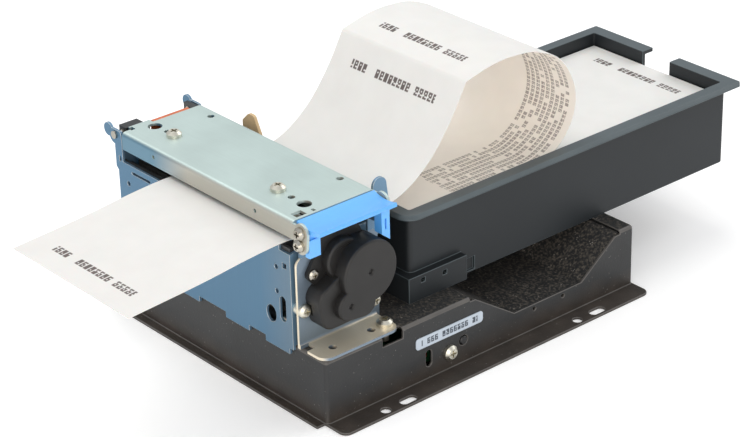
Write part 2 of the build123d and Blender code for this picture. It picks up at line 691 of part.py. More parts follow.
# Black front guide with ribs that hold the issued ticket up in the mouth
guide_back = blade_front - GAP
guide_front = mech_front + MECH_SHEET
GUIDE_TOP = MOUTH_BOTTOM
TICKET_RIB_TOP = 63.9
guide_left = MECH_FRAME_LEFT + MECH_SHEET
guide_right = MECH_FRAME_RIGHT - MECH_SHEET
with BuildPart() as front_guide:
    with BuildSketch(Plane.YZ.offset(guide_left)):
        with BuildLine():
            Polyline(
                (guide_front, 54.0), (guide_front, GUIDE_TOP), (guide_front + 1.2, GUIDE_TOP),
                (guide_back - 1.4, GUIDE_TOP - 2.2), (guide_back, GUIDE_TOP - 2.2), (guide_back, 54.0),
                close=True,
            )
        make_face()
    extrude(amount=guide_right - guide_left)
    for step in range(5):
        with BuildSketch(Plane.YZ.offset(TICKET_X - 29.0 + step * 14.15)):
            with BuildLine():
                Polyline(
                    (guide_front, GUIDE_TOP - 1), (guide_front, TICKET_RIB_TOP),
                    (guide_front + 1.2, TICKET_RIB_TOP), (guide_back, TICKET_RIB_TOP - 0.9),
                    (guide_back, GUIDE_TOP - 3), close=True,
                )
            make_face()
        extrude(amount=1.4)
finish_part(front_guide, "front_guide")

# Rear guide that leads the web in over the platen
INLET_DEPTH = 12.0
inlet_back = mech_rear + 0.8
with BuildPart() as inlet_guide:
    with BuildSketch(Plane.YZ.offset(guide_left)):
        with BuildLine():
            Line((inlet_back - INLET_DEPTH, paper_z - 4.0), (inlet_back - INLET_DEPTH, paper_z - 0.6))
            Line((inlet_back - INLET_DEPTH, paper_z - 0.6), (inlet_back - 2.6, paper_z - 0.1))
            TangentArc((inlet_back - 2.6, paper_z - 0.1), (inlet_back, paper_z - 2.6), tangent=(1, 0))
            Polyline(
                (inlet_back, paper_z - 2.6), (inlet_back, 52.0), (inlet_back - 2.0, 52.0),
                (inlet_back - 2.0, paper_z - 4.0), (inlet_back - INLET_DEPTH, paper_z - 4.0),
            )
        make_face()
    extrude(amount=guide_right - guide_left)
finish_part(inlet_guide, "inlet_guide")

# Rods that tie the side plates together
TIE_RODS = ((mech_rear - 5.0, 34.0), (mech_front + 5.0, 29.6))
with BuildPart() as tie_rods:
    with BuildSketch(Plane.YZ.offset(guide_left)):
        with Locations(*TIE_RODS):
            Circle(2.0)
    extrude(amount=guide_right - guide_left)
finish_part(tie_rods, "tie_rods")

# Platen: rubber sleeve on a steel shaft in two flanged bushes
PLATEN_LENGTH = 67.0
BUSH_FLANGE = 0.8
with BuildPart() as platen_roller:
    with BuildSketch(Plane.YZ.offset(TICKET_X - PLATEN_LENGTH / 2 - 1.5)):
        with Locations((PLATEN_Y, PLATEN_Z)):
            Circle(PLATEN_RADIUS)
            Circle(SHAFT_DIAMETER / 2, mode=Mode.SUBTRACT)
    extrude(amount=PLATEN_LENGTH)
finish_part(platen_roller, "platen_roller")

with BuildPart() as platen_bushes:
    for wall_x, outward in ((guide_right, 1), (guide_left, -1)):
        with BuildSketch(Plane.YZ.offset(wall_x)):
            with Locations((PLATEN_Y, PLATEN_Z)):
                Circle(4.0)
                Circle(SHAFT_DIAMETER / 2 + RUNNING, mode=Mode.SUBTRACT)
        extrude(amount=outward * (MECH_SHEET + BUSH_FLANGE))
finish_part(platen_bushes, "platen_bushes")

with BuildPart() as platen_shaft:
    with BuildSketch(Plane.YZ.offset(MECH_FRAME_LEFT - 2.0)):
        with Locations((PLATEN_Y, PLATEN_Z)):
            Circle(SHAFT_DIAMETER / 2)
    extrude(amount=inner_gear_x + GEAR_FACE - MECH_FRAME_LEFT + 2.0)
    chamfer(faces().sort_by(Axis.X)[-1].edges() + faces().sort_by(Axis.X)[0].edges(), 0.4)
finish_part(platen_shaft, "platen_shaft")

with BuildPart() as platen_gear:
    with BuildSketch(Plane(origin=(inner_gear_x, PLATEN_Y, PLATEN_Z), x_dir=(0, 1, 0), z_dir=(1, 0, 0))):
        gear_face(PLATEN_TEETH, IDLER_ANGLE)
        Circle(SHAFT_DIAMETER / 2, mode=Mode.SUBTRACT)
    extrude(amount=GEAR_FACE)
finish_part(platen_gear, "platen_gear")

# Compound idler: its small gear drives the platen, its large one follows the motor
STUD_DIAMETER = 3.0
with BuildPart() as idler_gear:
    with BuildSketch(Plane(origin=(inner_gear_x, idler_y, idler_z), x_dir=(0, 1, 0), z_dir=(1, 0, 0))):
        gear_face(IDLER_SMALL_TEETH, IDLER_ANGLE + 180 + 180 / IDLER_SMALL_TEETH)
    extrude(amount=GEAR_FACE + GAP)
    with BuildSketch(Plane(origin=(outer_gear_x, idler_y, idler_z), x_dir=(0, 1, 0), z_dir=(1, 0, 0))):
        gear_face(IDLER_LARGE_TEETH, MOTOR_ANGLE)
    extrude(amount=GEAR_FACE)
    with BuildSketch(Plane.YZ.offset(inner_gear_x)):
        with Locations((idler_y, idler_z)):
            Circle(STUD_DIAMETER / 2 + RUNNING)
    extrude(amount=20, mode=Mode.SUBTRACT)
finish_part(idler_gear, "idler_gear")

stud_end = outer_gear_x + GEAR_FACE + GAP
with BuildPart() as idler_stud:
    with BuildSketch(Plane.YZ.offset(bracket_inner)):
        with Locations((idler_y, idler_z)):
            Circle(STUD_DIAMETER / 2)
    extrude(amount=stud_end + 0.8 - bracket_inner)
    with BuildSketch(Plane.YZ.offset(stud_end)):
        with Locations((idler_y, idler_z)):
            Circle(STUD_DIAMETER / 2 + 1.0)
    extrude(amount=0.8)
    with BuildSketch(Plane.YZ.offset(MECH_BRACKET_X)):
        with Locations((idler_y, idler_z)):
            Circle(STUD_DIAMETER / 2 + 1.2)
    extrude(amount=inner_gear_x - MECH_BRACKET_X - 0.1)
finish_part(idler_stud, "idler_stud")

MOTOR_SHAFT = 2.0
with BuildPart() as motor_pinion:
    with BuildSketch(Plane(origin=(outer_gear_x, motor_y, motor_z), x_dir=(0, 1, 0), z_dir=(1, 0, 0))):
        gear_face(PINION_TEETH, MOTOR_ANGLE - 180 + 180 / PINION_TEETH)
    extrude(amount=GEAR_FACE)
    with BuildSketch(Plane.YZ.offset(guide_right + 2.0)):
        with Locations((motor_y, motor_z)):
            Circle(MOTOR_SHAFT / 2)
    extrude(amount=outer_gear_x + GEAR_FACE + 0.6 - guide_right - 2.0)
finish_part(motor_pinion, "motor_pinion")

with BuildPart() as feed_motor:
    with BuildSketch(Plane.YZ.offset(guide_right)):
        with Locations((motor_y, motor_z)):
            Circle(FEED_MOTOR_DIAMETER / 2)
    extrude(amount=-FEED_MOTOR_LENGTH)
    with BuildSketch(Plane.YZ.offset(guide_right - FEED_MOTOR_LENGTH / 2 + 1)):
        with Locations((motor_y, motor_z)):
            Circle(FEED_MOTOR_DIAMETER / 2)
            Circle(FEED_MOTOR_DIAMETER / 2 - 0.5, mode=Mode.SUBTRACT)
    extrude(amount=-2.0, mode=Mode.SUBTRACT)
    with BuildSketch(Plane.YZ.offset(guide_right)):
        with Locations((motor_y, motor_z)):
            Circle(3.5)
            Circle(MOTOR_SHAFT / 2 + RUNNING, mode=Mode.SUBTRACT)
    extrude(amount=bracket_inner + 0.5 - guide_right)
    with BuildSketch(Plane.YZ.offset(guide_right)):
        with Locations((motor_y, motor_z)):
            Circle(MOTOR_SHAFT / 2 + RUNNING)
    extrude(amount=-6, mode=Mode.SUBTRACT)
finish_part(feed_motor, "feed_motor")

# Gear cover: moulded shell with a flange, a low housing, and raised discs over the idler and the pinion
LOW_BODY = ((-58.3, 43.0, 5.0), (-57.6, 36.6, 4.5), (-43.7, 37.0, 4.7))
HIGH_CORNER = (-45.6, 38.2, 4.6)


def round_hull(circles, wall):
    """Hull of circles given as (y, z, radius), drawn in by wall."""
    with BuildSketch(mode=Mode.PRIVATE) as spots:
        for y, z, radius in circles:
            with Locations((y, z)):
                Circle(radius - wall)
        make_hull()
    add(spots.sketch)


def low_outline(wall):
    """Low housing over the motor's end of the train."""
    round_hull([*LOW_BODY, (idler_y, idler_z, 6.0)], wall)
    with Locations((idler_y, idler_z)):
        Circle(IDLER_DISC - wall)


def high_outline(wall):
    """The two raised discs and the web that joins them at the back."""
    round_hull([(motor_y, motor_z, PINION_DISC), HIGH_CORNER, (idler_y, idler_z, 2.0)], wall)
    with Locations((idler_y, idler_z)):
        Circle(IDLER_DISC - wall)


with BuildPart() as gear_cover:
    with BuildSketch(Plane.YZ.offset(cover_base_x)):
        low_outline(0)
        round_hull([(-58.2, 61.4, 2.5), (-42.6, 61.4, 2.5), (-55.0, 52.0, 2.0), (idler_y, idler_z, 8.0)], 0)
        round_hull([(*GEAR_COVER_EAR, 2.3), (-55.0, 56.0, 5.0), (-55.0, 49.0, 5.0)], 0)
    extrude(amount=FLANGE_FACE_X - cover_base_x)
    with BuildSketch(Plane.YZ.offset(cover_base_x)):
        with Locations((PLATEN_Y, PLATEN_Z)):
            Circle(PLATEN_DISC)
    extrude(amount=PLATEN_FACE_X - cover_base_x)
    with BuildSketch(Plane.YZ.offset(cover_base_x)):
        low_outline(0)
    extrude(amount=LOW_FACE_X - cover_base_x)
    with BuildSketch(Plane.YZ.offset(LOW_FACE_X - 1.5)):
        high_outline(0)
    extrude(amount=HIGH_FACE_X - LOW_FACE_X + 1.5)
    with BuildSketch(Plane.YZ.offset(cover_base_x)):
        low_outline(COVER_WALL)
    extrude(amount=LOW_FACE_X - COVER_SKIN - cover_base_x, mode=Mode.SUBTRACT)
    with BuildSketch(Plane.YZ.offset(LOW_FACE_X - COVER_SKIN - 0.5)):
        high_outline(COVER_WALL + 0.15)
    extrude(amount=HIGH_FACE_X - LOW_FACE_X + 0.5, mode=Mode.SUBTRACT)
    with BuildSketch(Plane.YZ.offset(cover_base_x)):
        with Locations((PLATEN_Y, PLATEN_Z)):
            Circle(PLATEN_DISC - COVER_WALL)
    extrude(amount=PLATEN_FACE_X - COVER_SKIN - cover_base_x, mode=Mode.SUBTRACT)
    with BuildSketch(Plane.YZ.offset(cover_base_x)):
        with Locations(BRACKET_FIXINGS[0]):
            Circle(2.45 + GAP)
    extrude(amount=2.4, mode=Mode.SUBTRACT)
    with BuildSketch(Plane.YZ.offset(HIGH_FACE_X)):
        with Locations((idler_y, idler_z), (motor_y, motor_z)):
            Circle(0.7)
    extrude(amount=-0.8, mode=Mode.SUBTRACT)
    with BuildSketch(Plane.YZ.offset(FLANGE_FACE_X)):
        with Locations(GEAR_COVER_EAR):
            Circle(1.2)
    extrude(amount=-2, mode=Mode.SUBTRACT)
finish_part(gear_cover, "gear_cover")

with BuildPart() as gear_cover_screws:
    pan_screw(
        Plane(origin=(FLANGE_FACE_X, *GEAR_COVER_EAR), x_dir=(0, 1, 0), z_dir=(1, 0, 0)),
        3.9, 1.2, 2.4, FLANGE_FACE_X - bracket_inner,
    )
finish_part(gear_cover_screws, "gear_cover_screws")

# Cutter: a fixed blade in the cover above the paper, a moving blade that a pinion lifts from below
CUTTER_PITCH = GEAR_MODULE * CUTTER_TEETH / 2
RACK_PLAY = 0.03
rack_x = CUTTER_X - CUTTER_PITCH - RACK_PLAY
RACK_TEETH = 9
BLADE_TOP = 60.8
GUIDE_STUD = (-41.5, 49.0)
with BuildPart() as cutter_blade:
    with BuildSketch(Plane.XZ.offset(-blade_front)):
        with BuildLine():
            Polyline(
                (-45.0, 33.6), (-45.0, BLADE_TOP), (0, BLADE_TOP - 0.8), (44.0, BLADE_TOP),
                (44.0, 54.4), (rack_x - 1.25 * GEAR_MODULE, 54.4), (rack_x - 1.25 * GEAR_MODULE, 33.6),
                close=True,
            )
        make_face()
        for tooth in range(RACK_TEETH):
            centre = CUTTER_Z + (tooth - RACK_TEETH // 2) * pi * GEAR_MODULE
            flank = tan(radians(PRESSURE_ANGLE))
            half_pitch = (pi * GEAR_MODULE - BACKLASH) / 4
            root = half_pitch + 1.25 * GEAR_MODULE * flank
            tip = half_pitch - 0.95 * GEAR_MODULE * flank
            with BuildLine():
                Polyline(
                    (rack_x - 1.25 * GEAR_MODULE, centre - root), (rack_x + 0.95 * GEAR_MODULE, centre - tip),
                    (rack_x + 0.95 * GEAR_MODULE, centre + tip), (rack_x - 1.25 * GEAR_MODULE, centre + root),
                    close=True,
                )
            make_face()
        with Locations(GUIDE_STUD):
            with Locations((0, -BLADE_TRAVEL / 2)):
                SlotOverall(BLADE_TRAVEL + 3.6, 3.2, rotation=90, mode=Mode.SUBTRACT)
    extrude(amount=-BLADE_THICKNESS)
finish_part(cutter_blade, "cutter_blade")

with BuildPart() as cutter_pinion:
    with BuildSketch(Plane(origin=(CUTTER_X, blade_front, CUTTER_Z), x_dir=(1, 0, 0), z_dir=(0, -1, 0))):
        gear_face(CUTTER_TEETH, 180 + 180 / CUTTER_TEETH)
    extrude(amount=-BLADE_THICKNESS)
    with BuildSketch(Plane(origin=(CUTTER_X, blade_front, CUTTER_Z), x_dir=(1, 0, 0), z_dir=(0, -1, 0))):
        Circle(MOTOR_SHAFT / 2)
    extrude(amount=-6)
finish_part(cutter_pinion, "cutter_pinion")

with BuildPart() as cutter_plate:
    with BuildSketch(Plane.XZ.offset(-cutter_plate_y)):
        with BuildLine():
            Polyline(
                (guide_left, 31.0), (guide_left, 59.6), (-27.0, 59.6), (-27.0, 60.4), (guide_right, 60.4),
                (guide_right, 53.2), (22.0, 53.2), (-8.0, 48.0), (-18.0, 31.0), close=True,
            )
        make_face()
        with Locations((CUTTER_X, CUTTER_Z)):
            Circle(3.2, mode=Mode.SUBTRACT)
    extrude(amount=-MECH_SHEET)
    with BuildSketch(Plane.XZ.offset(-cutter_plate_y)):
        with Locations(GUIDE_STUD):
            Circle(1.5)
    extrude(amount=GAP + BLADE_THICKNESS + 0.3)
    with BuildSketch(Plane.XZ.offset(-cutter_plate_y + GAP + BLADE_THICKNESS + 0.3)):
        with Locations(GUIDE_STUD):
            Circle(2.4)
    extrude(amount=0.6)
finish_part(cutter_plate, "cutter_plate")

with BuildPart() as cutter_motor:
    with BuildSketch(Plane.XZ.offset(-cutter_plate_y - MECH_SHEET)):
        with Locations((CUTTER_X, CUTTER_Z)):
            Circle(CUTTER_MOTOR_DIAMETER / 2)
    extrude(amount=-CUTTER_MOTOR_LENGTH)
    chamfer(faces().sort_by(Axis.Y)[-1].edges(), 0.8)
    with BuildSketch(Plane.XZ.offset(-cutter_plate_y - MECH_SHEET)):
        with Locations((CUTTER_X, CUTTER_Z)):
            Circle(3.2)
    extrude(amount=MECH_SHEET)
    with BuildSketch(Plane.XZ.offset(-cutter_plate_y)):
        with Locations((CUTTER_X, CUTTER_Z)):
            Circle(MOTOR_SHAFT / 2 + RUNNING)
    extrude(amount=-8, mode=Mode.SUBTRACT)
finish_part(cutter_motor, "cutter_motor")

# Tan sensor board that stands behind the cover, beside the web, on a foot screwed to the inlet guide
SENSOR_X = -26.3
SENSOR_WIDTH = 11.0
SENSOR_TOP = 72.4
SENSOR_BOARD = 1.2
sensor_y = inlet_back + 6.0
with BuildPart() as sensor_board:
    with BuildSketch(Plane.XZ.offset(-sensor_y)) as sensor_plan:
        with BuildLine():
            Polyline(
                (SENSOR_X - SENSOR_WIDTH / 2, 55.0), (SENSOR_X - SENSOR_WIDTH / 2, SENSOR_TOP - 3.4),
                (SENSOR_X - 2.0, SENSOR_TOP), (SENSOR_X + 1.0, SENSOR_TOP),
                (SENSOR_X + SENSOR_WIDTH / 2, SENSOR_TOP - 9), (SENSOR_X + SENSOR_WIDTH / 2, 55.0), close=True,
            )
        make_face()
        fillet(sensor_plan.vertices().group_by(Axis.Y)[-1], 1.4)
    extrude(amount=-SENSOR_BOARD)
    with BuildSketch(Plane.XY.offset(55.0)):
        with Locations((SENSOR_X, (inlet_back + sensor_y) / 2)):
            Rectangle(SENSOR_WIDTH, sensor_y - inlet_back)
    extrude(amount=SENSOR_BOARD)
finish_part(sensor_board, "sensor_board")

# Hinge: a short pin in each ear of the frame, and a block on the cover that turns on each pin
FRONT_BLOCK = (mech_front + 3.6, mech_front + 11.2)
REAR_BLOCK = (mech_rear - 3.6, mech_rear - MECH_SHEET - 0.7)
BLOCK_LEFT = HINGE_X - 2.4
BLOCK_STEP = COVER_LEFT - HINGE_SHELF - 0.2
block_right = COVER_LEFT + 1.4
with BuildPart() as hinge_blocks:
    for (block_front, block_back), step_x in ((FRONT_BLOCK, BLOCK_STEP), (REAR_BLOCK, COVER_LEFT - 0.2)):
        with BuildSketch(Plane.XZ.offset(-block_front)) as block_plan:
            with BuildLine():
                Polyline(
                    (BLOCK_LEFT, HINGE_Z - 2.2), (BLOCK_LEFT, COVER_TOP - 0.2), (step_x, COVER_TOP - 0.2),
                    (step_x, cover_under), (block_right, cover_under), (block_right, HINGE_Z - 1.4),
                    (HINGE_X + 1.5, HINGE_Z - 2.2), close=True,
                )
            make_face()
            with Locations((HINGE_X, HINGE_Z)):
                Circle(HINGE_PIN_DIAMETER / 2 + RUNNING, mode=Mode.SUBTRACT)
        extrude(amount=-(block_back - block_front))
finish_part(hinge_blocks, "hinge_blocks")

PIN_HEAD = 0.7
with BuildPart() as hinge_pin:
    for face_y, outward, reach in ((mech_front, -1, FRONT_BLOCK[1] - mech_front), (mech_rear, 1, 4.2)):
        with BuildSketch(Plane.XZ.offset(-face_y)):
            with Locations((HINGE_X, HINGE_Z)):
                Circle(HINGE_PIN_DIAMETER / 2)
        extrude(amount=outward * (reach - 0.4))
        with BuildSketch(Plane.XZ.offset(-face_y)):
            with Locations((HINGE_X, HINGE_Z)):
                Circle(HINGE_PIN_DIAMETER / 2 + 0.5)
        extrude(amount=-outward * PIN_HEAD)
finish_part(hinge_pin, "hinge_pin")

# Top cover: plate with a front lip, a shelf over the front hinge block and screw ears on the right
RIGHT_EAR_UPPER = (LEVER_PIVOT_X, LEVER_PIVOT_Z)
RIGHT_EAR_LOWER = (52.4, 65.2)
COVER_SCREWS = ((-31.1, mech_front + 11.8), (27.2, mech_front + 11.4))


def right_ear():
    """Two round lobes, one for each screw."""
    with BuildSketch(mode=Mode.PRIVATE) as lobes:
        with Locations(RIGHT_EAR_UPPER):
            Circle(3.3)
        with Locations(RIGHT_EAR_LOWER):
            Circle(3.3)
        make_hull()
    add(lobes.sketch)
    with Locations(((COVER_RIGHT + LEVER_PIVOT_X) / 2 - 0.5, 69.0)):
        Rectangle(LEVER_PIVOT_X - COVER_RIGHT + 1.0, 5.6)
    with Locations(RIGHT_EAR_UPPER, RIGHT_EAR_LOWER):
        Circle(1.25, mode=Mode.SUBTRACT)


with BuildPart() as top_cover:
    with BuildSketch(Plane.YZ.offset(COVER_LEFT)):
        bent_strip(
            [
                (mech_front, MOUTH_TOP), (mech_front, COVER_TOP),
                (cover_rear, COVER_TOP), (cover_rear, COVER_TOP - 3.5),
            ],
            MECH_SHEET, 1.6,
        )
    extrude(amount=COVER_RIGHT - COVER_LEFT)
    with BuildSketch(Plane.XY.offset(cover_under)):
        with Locations((COVER_LEFT - HINGE_SHELF / 2, mech_front + 9.0)):
            Rectangle(HINGE_SHELF + 0.1, 9.0)
    extrude(amount=MECH_SHEET)
    with BuildSketch(Plane.XY.offset(cover_under)):
        with Locations(*COVER_SCREWS):
            Circle(1.3)
        with Locations((-42.3, mech_front + 11.8), (41.2, mech_front + 11.2)):
            Circle(2.6)
        with Locations(
            (-35.7, mech_front + 12.4), (-35.5, cover_rear - 4.3), (34.4, mech_front + 11.3),
            (34.7, cover_rear - 3.5),
        ):
            Circle(1.3)
        with Locations((45.6, mech_front + 5.2)):
            Rectangle(3.4, 4.2)
        with Locations((46.6, mech_front + 10.6)):
            Rectangle(1.6, 1.2)
        with Locations((COVER_LEFT - 0.4, mech_front + 4.6)):
            Rectangle(2.4, 1.8)
    extrude(amount=MECH_SHEET, mode=Mode.SUBTRACT)
    with BuildSketch(Plane.XZ.offset(-mech_front)):
        right_ear()
    extrude(amount=-MECH_SHEET)
    with BuildSketch(Plane.XZ.offset(-mech_front)):
        with Locations((-27.6, 69.3), (29.0, 69.3)):
            Circle(0.75)
    extrude(amount=-MECH_SHEET, mode=Mode.SUBTRACT)
    with BuildSketch(Plane.XZ.offset(-cover_rear)):
        right_ear()
    extrude(amount=MECH_SHEET)
finish_part(top_cover, "top_cover")

with BuildPart() as head_screws:
    for x, y in COVER_SCREWS:
        pan_screw(Plane((x, y, COVER_TOP)), 5.4, 2.1, 2.5, 6.5)
finish_part(head_screws, "head_screws")

# Thermal head under the cover: heat sink, ceramic strip, leaf springs and flat cable
SINK_BOTTOM = paper_z + PAPER + GAP + 1.0
SINK_TOP = 68.4
sink_front = cutter_plate_y + MECH_SHEET
HEAD_LEFT = COVER_LEFT + 1.6
HEAD_RIGHT = 44.6
with BuildPart() as head_sink:
    with BuildSketch(Plane.YZ.offset(HEAD_LEFT)):
        with Locations((sink_front + 7.4, (SINK_BOTTOM + SINK_TOP) / 2)):
            Rectangle(14.8, SINK_TOP - SINK_BOTTOM)
        with Locations((sink_front + 7.4, SINK_TOP)):
            with GridLocations(3.0, 0, 4, 1):
                Rectangle(1.4, 3.2, mode=Mode.SUBTRACT)
    extrude(amount=HEAD_RIGHT - HEAD_LEFT)
    for x, y in COVER_SCREWS:
        with BuildSketch(Plane.XY.offset(SINK_TOP - 2)):
            with Locations((x, y)):
                Circle(3.0)
        extrude(amount=cover_under - SINK_TOP + 2)
        with BuildSketch(Plane.XY.offset(cover_under)):
            with Locations((x, y)):
                Circle(1.25)
        extrude(amount=-6.0, mode=Mode.SUBTRACT)
finish_part(head_sink, "head_sink")

with BuildPart() as thermal_head:
    with BuildSketch(Plane.XY.offset(SINK_BOTTOM)):
        with Locations((TICKET_X, PLATEN_Y)):
            Rectangle(PLATEN_LENGTH - 1, 8.0)
    extrude(amount=-1.0)
finish_part(thermal_head, "thermal_head")

with BuildPart() as head_springs:
    for x in (-14.0, 40.0):
        with BuildSketch(Plane.XZ.offset(-(sink_front + 6.2))):
            with BuildLine() as leaf:
                ThreePointArc((x - 6, cover_under), (x, SINK_TOP + 0.5), (x + 6, cover_under))
                offset(amount=0.5, side=Side.RIGHT)
            make_face(leaf.edges())
        extrude(amount=-3.6)
finish_part(head_springs, "head_springs")

FLEX = 0.3
with BuildPart() as head_flex:
    with BuildSketch(Plane.XZ.offset(-(mech_front + 14.1))):
        bent_strip(
            [
                (HEAD_LEFT - 0.05, SINK_BOTTOM + 1.0), (COVER_LEFT - 2.3, SINK_BOTTOM + 1.0),
                (COVER_LEFT - 2.3, COVER_TOP - 0.2), (COVER_LEFT - 0.1, COVER_TOP - 0.2),
            ],
            FLEX, 0.5,
        )
    extrude(amount=-16.0)
finish_part(head_flex, "head_flex")

with BuildPart() as fixed_blade:
    with BuildSketch(Plane.XZ.offset(-cutter_plate_y)):
        with Locations(((HEAD_LEFT + HEAD_RIGHT) / 2, 67.7)):
            Rectangle(HEAD_RIGHT - HEAD_LEFT, 5.2)
    extrude(amount=-MECH_SHEET)
finish_part(fixed_blade, "fixed_blade")

# Blue latch lever: concave wing with a boxed front leg and a fin at the back
lever_front = mech_front + MECH_SHEET + GAP
lever_back = cover_rear - MECH_SHEET - GAP
wing_left = COVER_RIGHT + 1.2
LEG_X = 55.5
LEG_SIZE = (2.1, 4.7)
LEG_SPAN = (60.9, 67.4)
FIN_X = 57.3
FIN_SIZE = (3.7, 3.5)
FIN_BOTTOM = 57.4
FIN_SLOPE = 2.8
lever_bosses = (
    Plane(origin=(LEVER_PIVOT_X, lever_front, LEVER_PIVOT_Z), x_dir=(1, 0, 0), z_dir=(0, 1, 0)),
    Plane(origin=(LEVER_PIVOT_X, lever_back, LEVER_PIVOT_Z), x_dir=(1, 0, 0), z_dir=(0, -1, 0)),
)
with BuildPart() as latch_lever:
    with BuildSketch(Plane.XZ.offset(-lever_front)):
        with BuildLine() as wing:
            ThreePointArc((wing_left, COVER_TOP + 0.3), (56.2, 71.5), (LEVER_REACH, 72.3))
            offset(amount=LEVER_THICKNESS, side=Side.RIGHT)
        make_face(wing.edges())
    extrude(amount=-(lever_back - lever_front))
    fillet(edges().filter_by(Axis.Y).group_by(Axis.X)[-1], 0.7)
    for boss in lever_bosses:
        with BuildSketch(boss):
            Circle(2.0)
        extrude(amount=2.6)
    with BuildSketch(Plane.XY.offset(LEG_SPAN[0])):
        with Locations((LEG_X - LEG_SIZE[0] / 2, lever_front + LEG_SIZE[1] / 2)):
            Rectangle(*LEG_SIZE)
    extrude(amount=LEG_SPAN[1] - LEG_SPAN[0])
    with BuildSketch(Plane.XY.offset(LEG_SPAN[1] - 1)):
        with Locations((LEG_X - LEG_SIZE[0] + 0.7, lever_front + LEG_SIZE[1] / 2)):
            Rectangle(1.4, LEG_SIZE[1])
    extrude(amount=LEVER_PIVOT_Z + 0.6 - LEG_SPAN[1])
    with BuildSketch(Plane.YZ.offset(FIN_X)):
        with BuildLine():
            Polyline(
                (lever_back, FIN_BOTTOM), (lever_back, LEVER_PIVOT_Z + 0.4),
                (lever_back - FIN_SIZE[1], LEVER_PIVOT_Z + 0.4),
                (lever_back - FIN_SIZE[1], FIN_BOTTOM + FIN_SLOPE), close=True,
            )
        make_face()
    extrude(amount=-FIN_SIZE[0])
    with BuildSketch(Plane.YZ.offset(FIN_X)):
        with Locations((lever_back - FIN_SIZE[1] / 2, (FIN_BOTTOM + LEVER_PIVOT_Z) / 2)):
            Rectangle(0.7, 4.0)
    extrude(amount=-1.0, mode=Mode.SUBTRACT)
    for boss in lever_bosses:
        with BuildSketch(boss):
            Circle(1.2 + RUNNING)
        extrude(amount=2.3, mode=Mode.SUBTRACT)
    with BuildSketch(Plane.XZ.offset(-lever_front)):
        with Locations((LEG_X - LEG_SIZE[0] / 2 + 0.3, 68.2)):
            Rectangle(1.2, 2.6)
    extrude(amount=-0.8, mode=Mode.SUBTRACT)
finish_part(latch_lever, "latch_lever")

with BuildPart() as lever_screws:
    for spot, reach in ((RIGHT_EAR_UPPER, 3.0), (RIGHT_EAR_LOWER, MECH_SHEET)):
        pan_screw(
            Plane(origin=(spot[0], mech_front, spot[1]), x_dir=(1, 0, 0), z_dir=(0, -1, 0)),
            4.6, 1.8, 2.4, reach,
        )
        pan_screw(
            Plane(origin=(spot[0], cover_rear, spot[1]), x_dir=(1, 0, 0), z_dir=(0, 1, 0)),
            4.6, 1.2, 2.4, reach,
        )
finish_part(lever_screws, "lever_screws")

# Catches on the bracket that the lever's legs stand beside
CATCHES = (
    (lever_front + 0.9, lever_front + 3.7, 63.4, 52.4), (lever_back - 2.9, lever_back - 0.6, 63.4, 52.6),
)
with BuildPart() as latch_catches:
    for catch_front, catch_back, lug_z, lug_x in CATCHES:
        with BuildSketch(Plane.XZ.offset(-catch_front)):
            with BuildLine():
                Polyline(
                    (bracket_inner, BRACKET_TOP), (bracket_inner, lug_z + 1.0), (lug_x, lug_z + 1.0),
                    (lug_x, lug_z), (MECH_BRACKET_X, lug_z), (MECH_BRACKET_X, BRACKET_TOP), close=True,
                )
            make_face()
        extrude(amount=-(catch_back - catch_front))
finish_part(latch_catches, "latch_catches")

